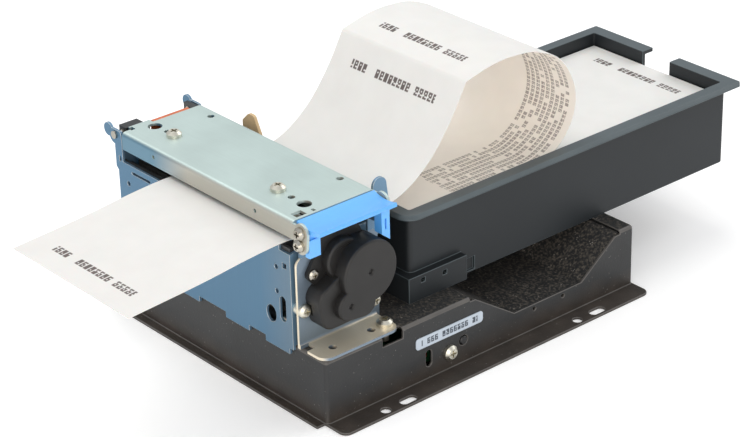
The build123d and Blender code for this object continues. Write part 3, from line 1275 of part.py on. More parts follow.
# Ticket tray: open box with an overhanging rim, a thumb notch at the back and a foot at the front
FOOT_PROUD = 3.2
FOOT_HEIGHT = 9.6
FOOT_LENGTH = 27.0
rim_front = TRAY_FRONT - TRAY_RIM
rim_back = tray_rear + TRAY_RIM
tray_mid = (TRAY_FRONT + tray_rear) / 2
tray_length = tray_rear - TRAY_FRONT
NOTCH_BOTTOM = 40.0
with BuildPart() as ticket_tray:
    with BuildSketch(Plane.XY.offset(BASE_HEIGHT)):
        with Locations((TRAY_X, tray_mid)):
            RectangleRounded(2 * tray_half, tray_length, 2.0)
    extrude(amount=TRAY_HEIGHT)
    with BuildSketch(Plane.XY.offset(tray_top)) as rim_plan:
        with Locations((TRAY_X, tray_mid)):
            Rectangle(2 * (tray_half + TRAY_RIM), tray_length + 2 * TRAY_RIM)
        fillet(rim_plan.vertices().group_by(Axis.Y)[0], 6.0)
        chamfer(rim_plan.vertices().group_by(Axis.Y)[-1], 1.2)
    extrude(amount=-TRAY_RIM_THICKNESS)
    with BuildSketch(Plane.XY.offset(BASE_HEIGHT)):
        with Locations((TRAY_X, TRAY_FRONT - FOOT_PROUD + FOOT_LENGTH / 2)):
            Rectangle(2 * (tray_half + FOOT_PROUD), FOOT_LENGTH)
    extrude(amount=FOOT_HEIGHT)
    with BuildSketch(Plane.XY.offset(tray_floor)):
        with Locations((TRAY_X, tray_mid)):
            RectangleRounded(2 * (tray_half - TRAY_WALL), tray_length - 2 * TRAY_WALL, 0.8)
    extrude(amount=TRAY_HEIGHT, mode=Mode.SUBTRACT)
    with BuildSketch(Plane.XZ.offset(-tray_rear - TRAY_RIM - 1)):
        with Locations((TRAY_X, (NOTCH_BOTTOM + tray_top + 8) / 2)):
            RectangleRounded(THUMB_NOTCH, tray_top + 8 - NOTCH_BOTTOM, 4.0)
    extrude(amount=TRAY_RIM + TRAY_WALL + 2, mode=Mode.SUBTRACT)
    foot_top = edges().filter_by(Axis.Y).group_by(Axis.X)[-1].sort_by(Axis.Z)[-1]
    chamfer(foot_top, 1.2)
    with BuildSketch(Plane.YZ.offset(TRAY_X + tray_half + FOOT_PROUD)):
        with Locations((TRAY_FRONT + 3.4, BASE_HEIGHT + 7.3), (TRAY_FRONT + 13.4, BASE_HEIGHT + 6.6)):
            Rectangle(1.8, 1.6)
    extrude(amount=-FOOT_PROUD, mode=Mode.SUBTRACT)
    with BuildSketch(Plane.YZ.offset(TRAY_X + tray_half)):
        with Locations((TRAY_FRONT + 27.6, BASE_HEIGHT + 3.2)):
            Rectangle(5.4, 5.0)
    extrude(amount=-0.9, mode=Mode.SUBTRACT)
    with BuildSketch(Plane.XY.offset(BASE_HEIGHT)):
        with Locations((TRAY_X, TRAY_FRONT + TRAY_SCREW[1])):
            with GridLocations(2 * TRAY_SCREW[0], 0, 2, 1):
                Circle(1.2)
    extrude(amount=TRAY_WALL, mode=Mode.SUBTRACT)
finish_part(ticket_tray, "ticket_tray")

with BuildPart() as tray_screws:
    for side in (-1, 1):
        pan_screw(
            Plane(
                origin=(TRAY_X + side * TRAY_SCREW[0], TRAY_FRONT + TRAY_SCREW[1], BASE_HEIGHT - BASE_SHEET),
                x_dir=(1, 0, 0), z_dir=(0, 0, -1),
            ),
            5.0, 1.6, 2.4, BASE_SHEET + TRAY_WALL,
        )
finish_part(tray_screws, "tray_screws")

# Fan-fold tickets: the pile in the tray, the web that loops out of it, and the ticket that is out
stack_front = TRAY_FRONT + TRAY_WALL + TRAY_END_PLAY
stack_bottom = tray_floor
with BuildPart() as ticket_stack:
    with BuildSketch(Plane.YZ.offset(TICKET_X - TICKET_WIDTH / 2)) as pile:
        with BuildLine():
            Polyline(
                (stack_front, stack_bottom + 1), (stack_front + 1, stack_bottom),
                (stack_front + TICKET_LENGTH - 1, stack_bottom), (stack_front + TICKET_LENGTH, stack_bottom + 1),
                (stack_front + TICKET_LENGTH, STACK_TOP - 1), (stack_front + TICKET_LENGTH - 1, STACK_TOP),
                (stack_front + 1, STACK_TOP), (stack_front, STACK_TOP - 1), close=True,
            )
        make_face()
    extrude(amount=TICKET_WIDTH)
finish_part(ticket_stack, "ticket_stack")

# The web's route from behind the cutter, up over the loop and down to the front fold on the pile
web_start = cutter_plate_y + MECH_SHEET + 0.4
web_top = paper_z + PAPER
FLAT_END = -34.0
FOLD = (12.8, 96.8)
LOOP_FOOT = 44.0


def arc_pair(start, start_way, end, end_way):
    """Two tangent arcs that leave start along start_way and reach end along end_way."""
    chord = end - start
    both = start_way + end_way
    square = 2 * (1 - start_way.dot(end_way))
    reach = chord.dot(both)
    if square < 1e-6:
        length = chord.dot(chord) / (2 * reach)
    else:
        length = (-reach + sqrt(reach ** 2 + square * chord.dot(chord))) / square
    middle = (start + end + (start_way - end_way) * length) / 2
    first = TangentArc(start, middle, tangent=start_way)
    TangentArc(middle, end, tangent=first % 1)


def paper_strip(points, first_way, last_way):
    """Section of a sheet: one face runs through points in tangent arcs, the other lies PAPER to its right."""
    knots = [Vector(*point) for point in points]
    ways = [Vector(*first_way).normalized()]
    for before, after in zip(knots, knots[2:]):
        ways.append((after - before).normalized())
    ways.append(Vector(*last_way).normalized())
    with BuildLine() as outline:
        for place in range(len(knots) - 1):
            arc_pair(knots[place], ways[place], knots[place + 1], ways[place + 1])
        offset(amount=PAPER, side=Side.RIGHT)
    make_face(outline.edges())


with BuildPart() as ticket_web:
    with BuildSketch(Plane.YZ.offset(TICKET_X - TICKET_WIDTH / 2)):
        paper_strip(
            [(FLAT_END, web_top), (-18.5, 63.9), (-5.6, 71.6), (4.7, 83.4), FOLD], (1, 0), (0.50, 0.87),
        )
        paper_strip(
            [
                FOLD, (24.7, 99.4), (34.2, 99.9), (46.2, 98.2), (58.4, 91.5), (65.6, 79.0), (65.0, 67.5),
                (57.0, 57.4), (LOOP_FOOT, STACK_TOP),
            ],
            (0.97, 0.24), (-1, 0),
        )
        with Locations(((web_start + FLAT_END) / 2, paper_z + PAPER / 2)):
            Rectangle(FLAT_END - web_start, PAPER)
        with Locations(((LOOP_FOOT + stack_front + 0.5) / 2, STACK_TOP + PAPER / 2)):
            Rectangle(LOOP_FOOT - stack_front - 0.5, PAPER)
    extrude(amount=TICKET_WIDTH)
finish_part(ticket_web, "ticket_web")

TICKET_OUT = 63.5
ticket_tail = blade_front - GAP
with BuildPart() as issued_ticket:
    with BuildSketch(Plane.YZ.offset(TICKET_X - TICKET_WIDTH / 2)):
        paper_strip(
            [
                (mech_front - TICKET_OUT, 59.7), (mech_front - TICKET_OUT * 0.55, 61.6),
                (mech_front - TICKET_OUT * 0.2, 63.8), (mech_front, TICKET_RIB_TOP + 0.5),
                (ticket_tail, TICKET_RIB_TOP - 0.2),
            ],
            (0.998, 0.07), (0.99, -0.1),
        )
    extrude(amount=TICKET_WIDTH)
finish_part(issued_ticket, "issued_ticket")
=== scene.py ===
import math
import random

import bmesh
import bpy
from bpy.props import FloatProperty, FloatVectorProperty, IntProperty, PointerProperty
from mathutils import Matrix, Vector, noise


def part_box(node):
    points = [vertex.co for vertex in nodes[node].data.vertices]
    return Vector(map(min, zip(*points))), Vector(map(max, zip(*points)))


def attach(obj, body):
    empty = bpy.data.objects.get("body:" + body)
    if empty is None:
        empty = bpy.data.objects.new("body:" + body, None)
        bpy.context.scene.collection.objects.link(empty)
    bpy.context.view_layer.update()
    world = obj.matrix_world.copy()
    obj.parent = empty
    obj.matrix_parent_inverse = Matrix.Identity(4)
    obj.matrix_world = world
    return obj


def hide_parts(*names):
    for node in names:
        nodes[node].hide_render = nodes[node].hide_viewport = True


bl_info = {
    "name": "Kiosk Ticket Printer",
    "version": (1, 0, 0),
    "blender": (4, 5, 0),
    "location": "View3D > Sidebar > Printer",
    "description": "Dresses the packed frame of a kiosk ticket printer",
    "category": "Object",
}

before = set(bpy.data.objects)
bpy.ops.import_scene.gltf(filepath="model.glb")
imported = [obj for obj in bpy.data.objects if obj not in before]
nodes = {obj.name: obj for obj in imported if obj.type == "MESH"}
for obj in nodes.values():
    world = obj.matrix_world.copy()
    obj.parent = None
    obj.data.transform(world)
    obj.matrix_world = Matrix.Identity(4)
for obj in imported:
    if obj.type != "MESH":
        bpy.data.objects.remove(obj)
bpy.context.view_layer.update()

MM = 0.001
RIGHT = Vector((1, 0, 0))

# Lines of the paper in the YZ plane, in millimetres, as its solids have them. The ways are the
# directions in which a line sets out and arrives, and the waves are the paper's ripple.
WEB_START = (-58.6, 62.05)
WEB_RISE = [(-34.0, 62.05), (-18.5, 63.9), (-5.6, 71.6), (4.7, 83.4), (12.8, 96.8)]
WEB_RISE_WAYS = (1, 0), (0.50, 0.87)
WEB_LOOP = [
    (12.8, 96.8), (24.7, 99.4), (34.2, 99.9), (46.2, 98.2), (58.4, 91.5), (65.6, 79.0),
    (65.0, 67.5), (57.0, 57.4), (44.0, 53.0),
]
WEB_LOOP_WAYS = (0.97, 0.24), (-1, 0)
WEB_END = (-13.9, 53.0)
ISSUED_LINE = [(-130.5, 59.7), (-101.9, 61.6), (-79.7, 63.8), (-67.0, 64.4), (-61.6, 63.7)]
ISSUED_WAYS = (0.998, 0.07), (0.99, -0.1)
WAVE_ACROSS, WAVE_ALONG, WAVE_SEED = 26, 34, 3.1

# Marks on the paper and the label, in millimetres: blocks with notches that stand for text
LINE_PITCH, LINE_HEIGHT = 2.3, 3.2
LINE_FROM_FOLD, LINE_HALF_LENGTH = 8.2, 22.0
SMALL_PITCH, SMALL_HEIGHT, SMALL_ROW = 1.5, 1.7, 2.5
SMALL_ACROSS, SMALL_ALONG = (7.5, 30.0), (176.0, 290.0)
LABEL_PITCH, LABEL_HEIGHT, LABEL_HALF_LENGTH = 1.75, 2.2, 13.0
LABEL_SEED = 7.0

# Shares of a block's cell: its sides, the chance of a gap, and the notches with the channel whose
# random value draws them, the value it has to pass, and the cut's sides and levels
BLOCK_SIDES = (0.06, 0.84)
GAP_CHANCE = 0.17
NOTCHES = (
    ("Red", 0.40, (0.40, 0.90), (0.62, 0.78)),
    ("Green", 0.35, (0.34, 0.58), (0.24, 0.40)),
    ("Blue", 0.60, (-0.10, 0.28), (0.50, 0.70)),
)

# Lights: name, place and side in metres, power in watts, colour
LIGHTS = (
    ("key", (-0.5, 0.0, 1.2), 1.1, 7.9, "#FFFDF8"),
    ("fill", (-0.3, -1.2, 0.8), 1.0, 0.8, "#EAF0FC"),
    ("rim", (0.2, 1.1, 0.9), 1.0, 5.0, "#FFFFFF"),
    ("side", (1.08, -0.85, 0.5), 1.2, 10.0, "#FFF6EC"),
)
LIT_SPOT = Vector((0, 0, 0.05))
SKY_STRENGTH = 0.66
FLOOR_HALF_WIDTH = 6.0

# Camera, solved from the edges of the base, the cover and the tray: place in metres, angles in
# degrees, and the picture's width, focal length and shift in pixels
CAMERA_PLACE = (0.60936, -0.50370, 0.43189)
CAMERA_AZIMUTH, CAMERA_ELEVATION, CAMERA_ROLL = 48.68, 26.98, -0.92
PICTURE_WIDTH = 745
FOCAL_PIXELS = 2455.3
SHIFT_PIXELS = (-50, 6.1)
SENSOR_MM = 36
CLIP_NEAR, CLIP_FAR = 0.05, 20


def linear(hex_colour):
    """sRGB hex value as a linear RGBA tuple."""
    values = [int(hex_colour[i:i + 2], 16) / 255 for i in (1, 3, 5)]
    return (*[v / 12.92 if v <= 0.04045 else ((v + 0.055) / 1.055) ** 2.4 for v in values], 1.0)


class PrinterSizes(bpy.types.PropertyGroup):
    """Sizes of the paper and of the rounded edges"""
    ticket_width: FloatProperty(
        name="Ticket width", description="Width of the fan-fold paper", default=0.065,
        unit="LENGTH")
    ticket_length: FloatProperty(
        name="Ticket length", description="From one fold to the next", default=0.156,
        unit="LENGTH")
    paper: FloatProperty(
        name="Paper", description="Thickness of one ticket", default=0.00025,
        precision=5, unit="LENGTH")
    leaves: IntProperty(
        name="Leaves", description="Leaves that show in the pile", default=46, min=8, max=120)
    ragged: FloatProperty(
        name="Ragged", description="How far a leaf may stand out of the pile", default=0.00022,
        precision=5, unit="LENGTH")
    sheet_edge: FloatProperty(
        name="Sheet edge", description="Rounding of cut sheet-metal edges", default=0.00014,
        precision=5, unit="LENGTH")
    enamel_edge: FloatProperty(
        name="Enamel edge", description="Rounding of enamelled sheet edges", default=0.00028,
        precision=5, unit="LENGTH")
    moulded_edge: FloatProperty(
        name="Moulded edge", description="Rounding of the tray's edges", default=0.00045,
        precision=5, unit="LENGTH")
    lever_edge: FloatProperty(
        name="Lever edge", description="Rounding of the latch lever's edges", default=0.0003,
        precision=5, unit="LENGTH")
    gear_cover_edge: FloatProperty(
        name="Gear cover edge", description="Rounding of the gear cover's raised edges",
        default=0.0009, precision=5, unit="LENGTH")


class PrinterColours(bpy.types.PropertyGroup):
    """Colours of the finishes that show most"""
    base: FloatVectorProperty(
        name="Base", description="Wrinkle enamel", size=4, subtype="COLOR",
        default=linear("#222324"))
    # The blue is a painted reflection of blue surroundings on the zinc
    zinc: FloatVectorProperty(
        name="Zinc", description="Zinc with a painted blue reflection", size=4, subtype="COLOR",
        default=linear("#6C8CA6"))
    cover: FloatVectorProperty(
        name="Cover", description="Clear passivated zinc", size=4, subtype="COLOR",
        default=linear("#BDCDCA"))
    tray: FloatVectorProperty(
        name="Tray", description="Dark grey ABS", size=4, subtype="COLOR",
        default=linear("#222629"))
    lever: FloatVectorProperty(
        name="Lever", description="Blue acetal", size=4, subtype="COLOR",
        default=linear("#5FB0F6"))
    gear_cover: FloatVectorProperty(
        name="Gear cover", description="Black nylon", size=4, subtype="COLOR",
        default=linear("#201F1E"))
    paper: FloatVectorProperty(
        name="Paper", description="Thermal paper", size=4, subtype="COLOR",
        default=linear("#DFDEDB"))


# Materials

def add_node(tree, kind, inputs=None, **settings):
    """Adds a shader node with its settings; inputs holds values and the sockets that feed it."""
    node = tree.nodes.new("ShaderNode" + kind)
    for key, value in settings.items():
        setattr(node, key, value)
    for key, value in (inputs or {}).items():
        if isinstance(value, bpy.types.NodeSocket):
            tree.links.new(value, node.inputs[key])
        else:
            node.inputs[key].default_value = value
    return node


def new_material(name, **shader_values):
    """Material with one Principled shader, and Object coordinates ready to use."""
    material = bpy.data.materials.new(name)
    material.use_nodes = True
    tree = material.node_tree
    tree.nodes.clear()
    values = {key.replace("_", " "): value for key, value in shader_values.items()}
    shader = add_node(tree, "BsdfPrincipled", values)
    add_node(tree, "OutputMaterial", {"Surface": shader.outputs[0]})
    place = add_node(tree, "TexCoord").outputs["Object"]
    return material, tree, shader, place


def per_metre(millimetres):
    """Noise scale whose features are about that many millimetres across."""
    return 1.0 / (millimetres * MM)


def tone(colour, factor):
    """The same colour made darker or lighter."""
    return (*[min(1.0, c * factor) for c in colour[:3]], 1.0)


def mottled(tree, vector, dark, light, size, detail=3.0, low=0.3, high=0.7):
    """Colour that drifts between two tones over patches of that many millimetres."""
    cloud = add_node(tree, "TexNoise", {
        "Vector": vector, "Scale": per_metre(size), "Detail": detail})
    ramp = add_node(tree, "ValToRGB", {"Fac": cloud.outputs["Fac"]})
    first, last = ramp.color_ramp.elements
    first.position, first.color = low, dark
    last.position, last.color = high, light
    return ramp.outputs["Color"]


def grain_bump(tree, vector, size, height, detail=2.0):
    """Normal of a surface whose grains are size millimetres across and height high."""
    grains = add_node(tree, "TexNoise", {
        "Vector": vector, "Scale": per_metre(size), "Detail": detail})
    bump = add_node(tree, "Bump", {"Height": grains.outputs["Fac"], "Distance": height * MM})
    return bump.outputs["Normal"]


def facing(tree, axis, sign):
    """1 on surfaces that look along an axis, 0 on the rest."""
    coordinates = add_node(tree, "TexCoord")
    normal = add_node(tree, "SeparateXYZ", {"Vector": coordinates.outputs["Normal"]})
    return add_node(tree, "MapRange", {
        "Value": normal.outputs[axis], "From Min": 0.5 * sign, "From Max": 0.9 * sign,
    }).outputs["Result"]


def all_of(tree, *masks):
    """1 where every mask is 1: their product."""
    product = masks[0]
    for mask in masks[1:]:
        product = add_node(tree, "Math", {0: product, 1: mask}, operation="MULTIPLY").outputs[0]
    return product


def band(tree, value, low, high, soft=0.05):
    """1 where value lies between low and high, falling to 0 over soft on each side."""
    rise = add_node(tree, "MapRange", {
        "Value": value, "From Min": low - soft, "From Max": low + soft})
    fall = add_node(tree, "MapRange", {
        "Value": value, "From Min": high - soft, "From Max": high + soft,
        "To Min": 1.0, "To Max": 0.0})
    return all_of(tree, rise.outputs["Result"], fall.outputs["Result"])


def wrinkle_enamel(colour, low_tone):
    """Black wrinkle enamel, baked on sheet steel: a leathery half shine with stray pale specks.

    Near the floor it turns to low_tone, along an edge that wanders by a few millimetres."""
    material, tree, shader, place = new_material("black wrinkle enamel", Roughness=0.5, IOR=1.5)
    wall = mottled(tree, place, tone(colour, 0.85), tone(colour, 1.25), 14.0)
    flange = mottled(tree, place, tone(low_tone, 0.8), tone(low_tone, 1.3), 9.0)
    height = add_node(tree, "SeparateXYZ", {"Vector": place}).outputs[2]
    cloud = add_node(tree, "TexNoise", {
        "Vector": place, "Scale": per_metre(11.0), "Detail": 3.0})
    wander = add_node(tree, "Math", {0: cloud.outputs["Fac"], 1: 7 * MM}, operation="MULTIPLY")
    wavy = add_node(tree, "Math", {0: height, 1: wander.outputs[0]}, operation="ADD")
    lift = add_node(tree, "MapRange", {
        "Value": wavy.outputs[0], "From Min": 6 * MM, "From Max": 13 * MM})
    body = add_node(tree, "Mix", {
        "Factor": lift.outputs["Result"], "A": flange, "B": wall}, data_type="RGBA")
    speck = add_node(tree, "TexNoise", {"Vector": place, "Scale": per_metre(0.8), "Detail": 1.0})
    rare = add_node(tree, "MapRange", {
        "Value": speck.outputs["Fac"], "From Min": 0.745, "From Max": 0.785})
    mixed = add_node(tree, "Mix", {
        "Factor": rare.outputs["Result"], "A": body.outputs["Result"], "B": linear("#6E6C68"),
    }, data_type="RGBA")
    tree.links.new(mixed.outputs["Result"], shader.inputs["Base Color"])
    tree.links.new(grain_bump(tree, place, 0.9, 0.06, 3.0), shader.inputs["Normal"])
    return material


def granular_enamel(name, colour, grain_tone, painted_glint_tone):
    """Coarse anti-slip enamel: grey grains of about a millimetre over black pits, with painted
    glints.
    """
    material, tree, shader, place = new_material(name, Roughness=0.6, IOR=1.5)
    grains = mottled(tree, place, colour, grain_tone, 0.95, detail=2.0, low=0.45, high=0.73)
    # Painted glints: pale dots put into the colour where highlights would catch
    cells = add_node(tree, "TexVoronoi", {"Vector": place, "Scale": per_metre(1.0)})
    dots = add_node(tree, "MapRange", {
        "Value": cells.outputs["Distance"], "From Min": 0.10, "From Max": 0.30,
        "To Min": 1.0, "To Max": 0.0})
    pick = add_node(tree, "TexNoise", {"Vector": place, "Scale": per_metre(2.6), "Detail": 2.0})
    some = add_node(tree, "MapRange", {
        "Value": pick.outputs["Fac"], "From Min": 0.55, "From Max": 0.66})
    glints = all_of(tree, dots.outputs["Result"], some.outputs["Result"])
    mixed = add_node(tree, "Mix", {"Factor": glints, "A": grains, "B": painted_glint_tone},
                     data_type="RGBA")
    tree.links.new(mixed.outputs["Result"], shader.inputs["Base Color"])
    tree.links.new(grain_bump(tree, place, 1.0, 0.25), shader.inputs["Normal"])
    return material


def zinc_plate(name, colour, streak_along, roughness=0.42, metallic=0.7, front_reflection_tones=None,
               drift=None, side_reflection_tone=None):
    """Zinc plated sheet steel: satin metal with faint rolling streaks along one axis.

    Faces that look forward go from the first front tone to the second between the two X places in
    drift, in millimetres, and those that look right take the side tone: both are painted
    reflections. Rolling streaks are hairlines; here they are 0.6 mm wide so that they show."""
    material, tree, shader, place = new_material(name, Metallic=metallic, Roughness=roughness)
    stretch = [0.03 if axis == streak_along else 1.0 for axis in "XYZ"]
    along = add_node(tree, "Mapping", {"Vector": place, "Scale": stretch})
    streaks = add_node(tree, "TexNoise", {
        "Vector": along.outputs[0], "Scale": per_metre(0.6), "Detail": 3.0})
    body = mottled(tree, place, tone(colour, 0.93), tone(colour, 1.05), 22.0)
    # Painted reflection: faces that look forward take tones that drift from left to right
    if front_reflection_tones:
        left, right = front_reflection_tones
        x = add_node(tree, "SeparateXYZ", {"Vector": place}).outputs[0]
        sideways = add_node(tree, "MapRange", {
            "Value": x, "From Min": drift[0] * MM, "From Max": drift[1] * MM})
        front = add_node(tree, "Mix", {
            "Factor": sideways.outputs["Result"], "A": left, "B": right}, data_type="RGBA")
        body = add_node(tree, "Mix", {
            "Factor": facing(tree, 1, -1), "A": body, "B": front.outputs["Result"],
        }, data_type="RGBA").outputs["Result"]
    # Painted reflection: faces that look right take their own tone
    if side_reflection_tone:
        body = add_node(tree, "Mix", {
            "Factor": facing(tree, 0, 1), "A": body, "B": side_reflection_tone,
        }, data_type="RGBA").outputs["Result"]
    shade = add_node(tree, "MapRange", {
        "Value": streaks.outputs["Fac"], "From Min": 0.3, "From Max": 0.7,
        "To Min": 0.98, "To Max": 1.015})
    streaked = add_node(tree, "Mix", {
        "Factor": 1.0, "A": body, "B": shade.outputs["Result"],
    }, data_type="RGBA", blend_type="MULTIPLY")
    tree.links.new(streaked.outputs["Result"], shader.inputs["Base Color"])
    bump = add_node(tree, "Bump", {"Height": streaks.outputs["Fac"], "Distance": 0.002 * MM})
    tree.links.new(bump.outputs["Normal"], shader.inputs["Normal"])
    return material


def plain_metal(name, colour, roughness):
    """Turned or stamped metal: mirror-like under fine marks all ways.

    The marks are finer on the real one; here they are 0.5 mm wide so that they show."""
    material, tree, shader, place = new_material(name, Metallic=1.0, Roughness=roughness)
    body = mottled(tree, place, tone(colour, 0.86), tone(colour, 1.1), 3.0)
    tree.links.new(body, shader.inputs["Base Color"])
    tree.links.new(grain_bump(tree, place, 0.5, 0.006), shader.inputs["Normal"])
    return material


def zinc_edge_highlight():
    """Cut edges of zinc plated sheet with a painted highlight: a pale line round each sheet."""
    return plain_metal("zinc edge with painted highlight", linear("#D3D5D1"), 0.38)


def moulded(name, colour, roughness, grain, height, patch=30.0, spread=0.16, **more):
    """Moulded plastic, rubber or resin: a slow drift of tone under an even grain.

    grain and height are in millimetres. A spark-eroded grain is about 0.1 mm across; here it is
    wider so that it shows."""
    material, tree, shader, place = new_material(name, Roughness=roughness, **more)
    body = mottled(tree, place, tone(colour, 1 - spread), tone(colour, 1 + spread), patch)
    tree.links.new(body, shader.inputs["Base Color"])
    tree.links.new(grain_bump(tree, place, grain, height), shader.inputs["Normal"])
    return material


def greeked(tree, along, up, pitch, height, seed=0.0):
    """Mask of one line of blocks with notches, which stands for text and can't be read.

    along runs with the line and up rises from its foot. Each seed gives other blocks."""
    cell = add_node(tree, "Math", {0: along, 1: pitch}, operation="DIVIDE").outputs[0]
    number = add_node(tree, "Math", {0: cell}, operation="FLOOR").outputs[0]
    inside = add_node(tree, "Math", {0: cell}, operation="FRACT").outputs[0]
    level = add_node(tree, "Math", {0: up, 1: height}, operation="DIVIDE").outputs[0]
    key = add_node(tree, "CombineXYZ", {"X": number, "Y": seed})
    chance = add_node(tree, "TexWhiteNoise", {"Vector": key.outputs[0]})
    channels = add_node(tree, "SeparateColor", {"Color": chance.outputs["Color"]})
    filled = add_node(tree, "Math", {0: chance.outputs["Value"], 1: GAP_CHANCE},
                      operation="GREATER_THAN").outputs[0]
    notches = 0.0
    for channel, needed, sides, levels in NOTCHES:
        drawn = add_node(tree, "Math", {0: channels.outputs[channel], 1: needed},
                         operation="GREATER_THAN").outputs[0]
        cut = all_of(tree, band(tree, inside, *sides), band(tree, level, *levels), drawn)
        notches = add_node(tree, "Math", {0: notches, 1: cut}, operation="MAXIMUM").outputs[0]
    uncut = add_node(tree, "Math", {0: 1.0, 1: notches}, operation="SUBTRACT").outputs[0]
    block = all_of(tree, band(tree, inside, *BLOCK_SIDES), band(tree, level, 0.0, 1.0))
    return all_of(tree, block, filled, uncut)


def thermal_paper(name, colour, ticket_length, back=False):
    """Top-coated thermal paper: smooth, matt and faintly warm, with marks that follow the sheet.

    The UV map is in millimetres: across from the middle, and along from a fold. The front has a
    line of marks inside each fold, and the back a block of small rows. The fibres are finer on
    the real one; here they are 0.7 mm wide so that they show."""
    material, tree, shader, place = new_material(
        name, Roughness=0.62, IOR=1.45, Subsurface_Weight=0.06, Subsurface_Scale=0.001)
    body = mottled(tree, place, tone(colour, 0.965), colour, 9.0)
    flat = add_node(tree, "UVMap", uv_map="flat").outputs[0]
    across, along = add_node(tree, "SeparateXYZ", {"Vector": flat}).outputs[:2]
    if back:
        row = add_node(tree, "Math", {0: across, 1: SMALL_ROW}, operation="DIVIDE").outputs[0]
        number = add_node(tree, "Math", {0: row}, operation="FLOOR").outputs[0]
        share = add_node(tree, "Math", {0: row}, operation="FRACT").outputs[0]
        foot = add_node(tree, "Math", {0: share, 1: SMALL_ROW}, operation="MULTIPLY").outputs[0]
        ink = greeked(tree, along, foot, SMALL_PITCH, SMALL_HEIGHT, number)
        block = all_of(
            tree, band(tree, across, *SMALL_ACROSS), band(tree, along, *SMALL_ALONG))
        strength = 0.62
    else:
        from_fold = add_node(tree, "Math", {0: along, 1: ticket_length / 2},
                             operation="PINGPONG").outputs[0]
        foot = add_node(tree, "Math", {0: from_fold, 1: LINE_FROM_FOLD},
                        operation="SUBTRACT").outputs[0]
        ink = greeked(tree, across, foot, LINE_PITCH, LINE_HEIGHT)
        block = band(tree, across, -LINE_HALF_LENGTH, LINE_HALF_LENGTH)
        strength = 0.92
    inked = add_node(tree, "Mix", {
        "Factor": all_of(tree, ink, block, strength), "A": body, "B": linear("#4A3C39"),
    }, data_type="RGBA")
    tree.links.new(inked.outputs["Result"], shader.inputs["Base Color"])
    tree.links.new(grain_bump(tree, place, 0.7, 0.004), shader.inputs["Normal"])
    return material


def printed_label(colour):
    """Printed film label: satin pale grey ground with a line of marks."""
    material, tree, shader, place = new_material(
        "printed film label", Roughness=0.35, IOR=1.49)
    low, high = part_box("switch_label")
    centre = (low + high) / 2 / MM
    flat = add_node(tree, "Mapping", {
        "Vector": place, "Scale": [1 / MM] * 3,
        "Location": (0, -centre.y, LABEL_HEIGHT / 2 - centre.z)}).outputs[0]
    _, along, up = add_node(tree, "SeparateXYZ", {"Vector": flat}).outputs
    ink = all_of(
        tree, greeked(tree, along, up, LABEL_PITCH, LABEL_HEIGHT, LABEL_SEED),
        band(tree, along, -LABEL_HALF_LENGTH, LABEL_HALF_LENGTH, 0.1))
    body = mottled(tree, place, tone(colour, 0.95), tone(colour, 1.03), 5.0)
    inked = add_node(tree, "Mix", {"Factor": ink, "A": body, "B": linear("#3B4450")},
                     data_type="RGBA")
    tree.links.new(inked.outputs["Result"], shader.inputs["Base Color"])
    return material


# Meshes

def dress(material, *names):
    """Gives a finish to CAD nodes whose shape stays."""
    for name in names:
        data = nodes[name].data
        data.materials.clear()
        data.materials.append(material)


def finish_mesh(bm, name, body, materials, sharp=32.0):
    """Makes a piece that rides on a body, shaded smooth up to edges sharper than the angle."""
    for face in bm.faces:
        face.smooth = True
    for edge in bm.edges:
        angle = edge.calc_face_angle(0.0)
        edge.smooth = len(edge.link_faces) == 2 and angle < math.radians(sharp)
    data = bpy.data.meshes.new(name)
    bm.to_mesh(data)
    bm.free()
    for material in materials:
        data.materials.append(material)
    piece = bpy.data.objects.new(name, data)
    bpy.context.scene.collection.objects.link(piece)
    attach(piece, body)
    return piece


def merged_copy(name):
    """bmesh of a CAD node with its doubles merged and its flat faces joined."""
    bm = bmesh.new()
    bm.from_mesh(nodes[name].data)
    bmesh.ops.remove_doubles(bm, verts=bm.verts, dist=1e-6)
    bmesh.ops.dissolve_limit(
        bm, angle_limit=math.radians(0.5), verts=bm.verts, edges=bm.edges)
    return bm


def sharp_edges(bm, test):
    """Edges where two faces meet at more than 40 degrees and that pass the test, if any."""
    return [
        edge for edge in bm.edges
        if len(edge.link_faces) == 2 and edge.calc_face_angle(0.0) > math.radians(40.0)
        and (test is None or test(edge))
    ]


def looks_up(face, least, above):
    """Whether a face points up by at least that much and lies above that height."""
    return face.normal.z > least and face.calc_center_median().z > above


def eased_piece(node, name, body, materials, radius, segments=2, test=None, clamp=True,
                finish=None):
    """Copy of a CAD node with its sharp edges rounded, which stands for that node.

    Rounded edges take the last of the materials, and the faces between them the first one or
    the one whose number finish gives."""
    bm = merged_copy(node)
    rounded = bmesh.ops.bevel(
        bm, geom=sharp_edges(bm, test), affect="EDGES", offset=radius, offset_type="OFFSET",
        segments=segments, profile=0.5, material=-1, clamp_overlap=clamp, miter_outer="SHARP",
    )["faces"]
    for face in bm.faces:
        face.material_index = finish(face) if finish else 0
    for face in rounded:
        face.material_index = len(materials) - 1
    piece = finish_mesh(bm, name, body, materials, sharp=50.0)
    even = piece.modifiers.new("even shading", "WEIGHTED_NORMAL")
    even.keep_sharp = True
    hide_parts(node)
    return piece


def arc_points(start, way, end, steps):
    """Points along the circular arc that leaves start in direction way and reaches end."""
    chord = end - start
    turn = math.atan2(way.y * chord.z - way.z * chord.y, way.dot(chord))
    for step in range(1, steps + 1):
        part = step / steps
        reach = part if abs(turn) < 1e-4 else math.sin(turn * part) / math.sin(turn)
        yield start + Matrix.Rotation(turn * (part - 1), 3, "X") @ chord * reach


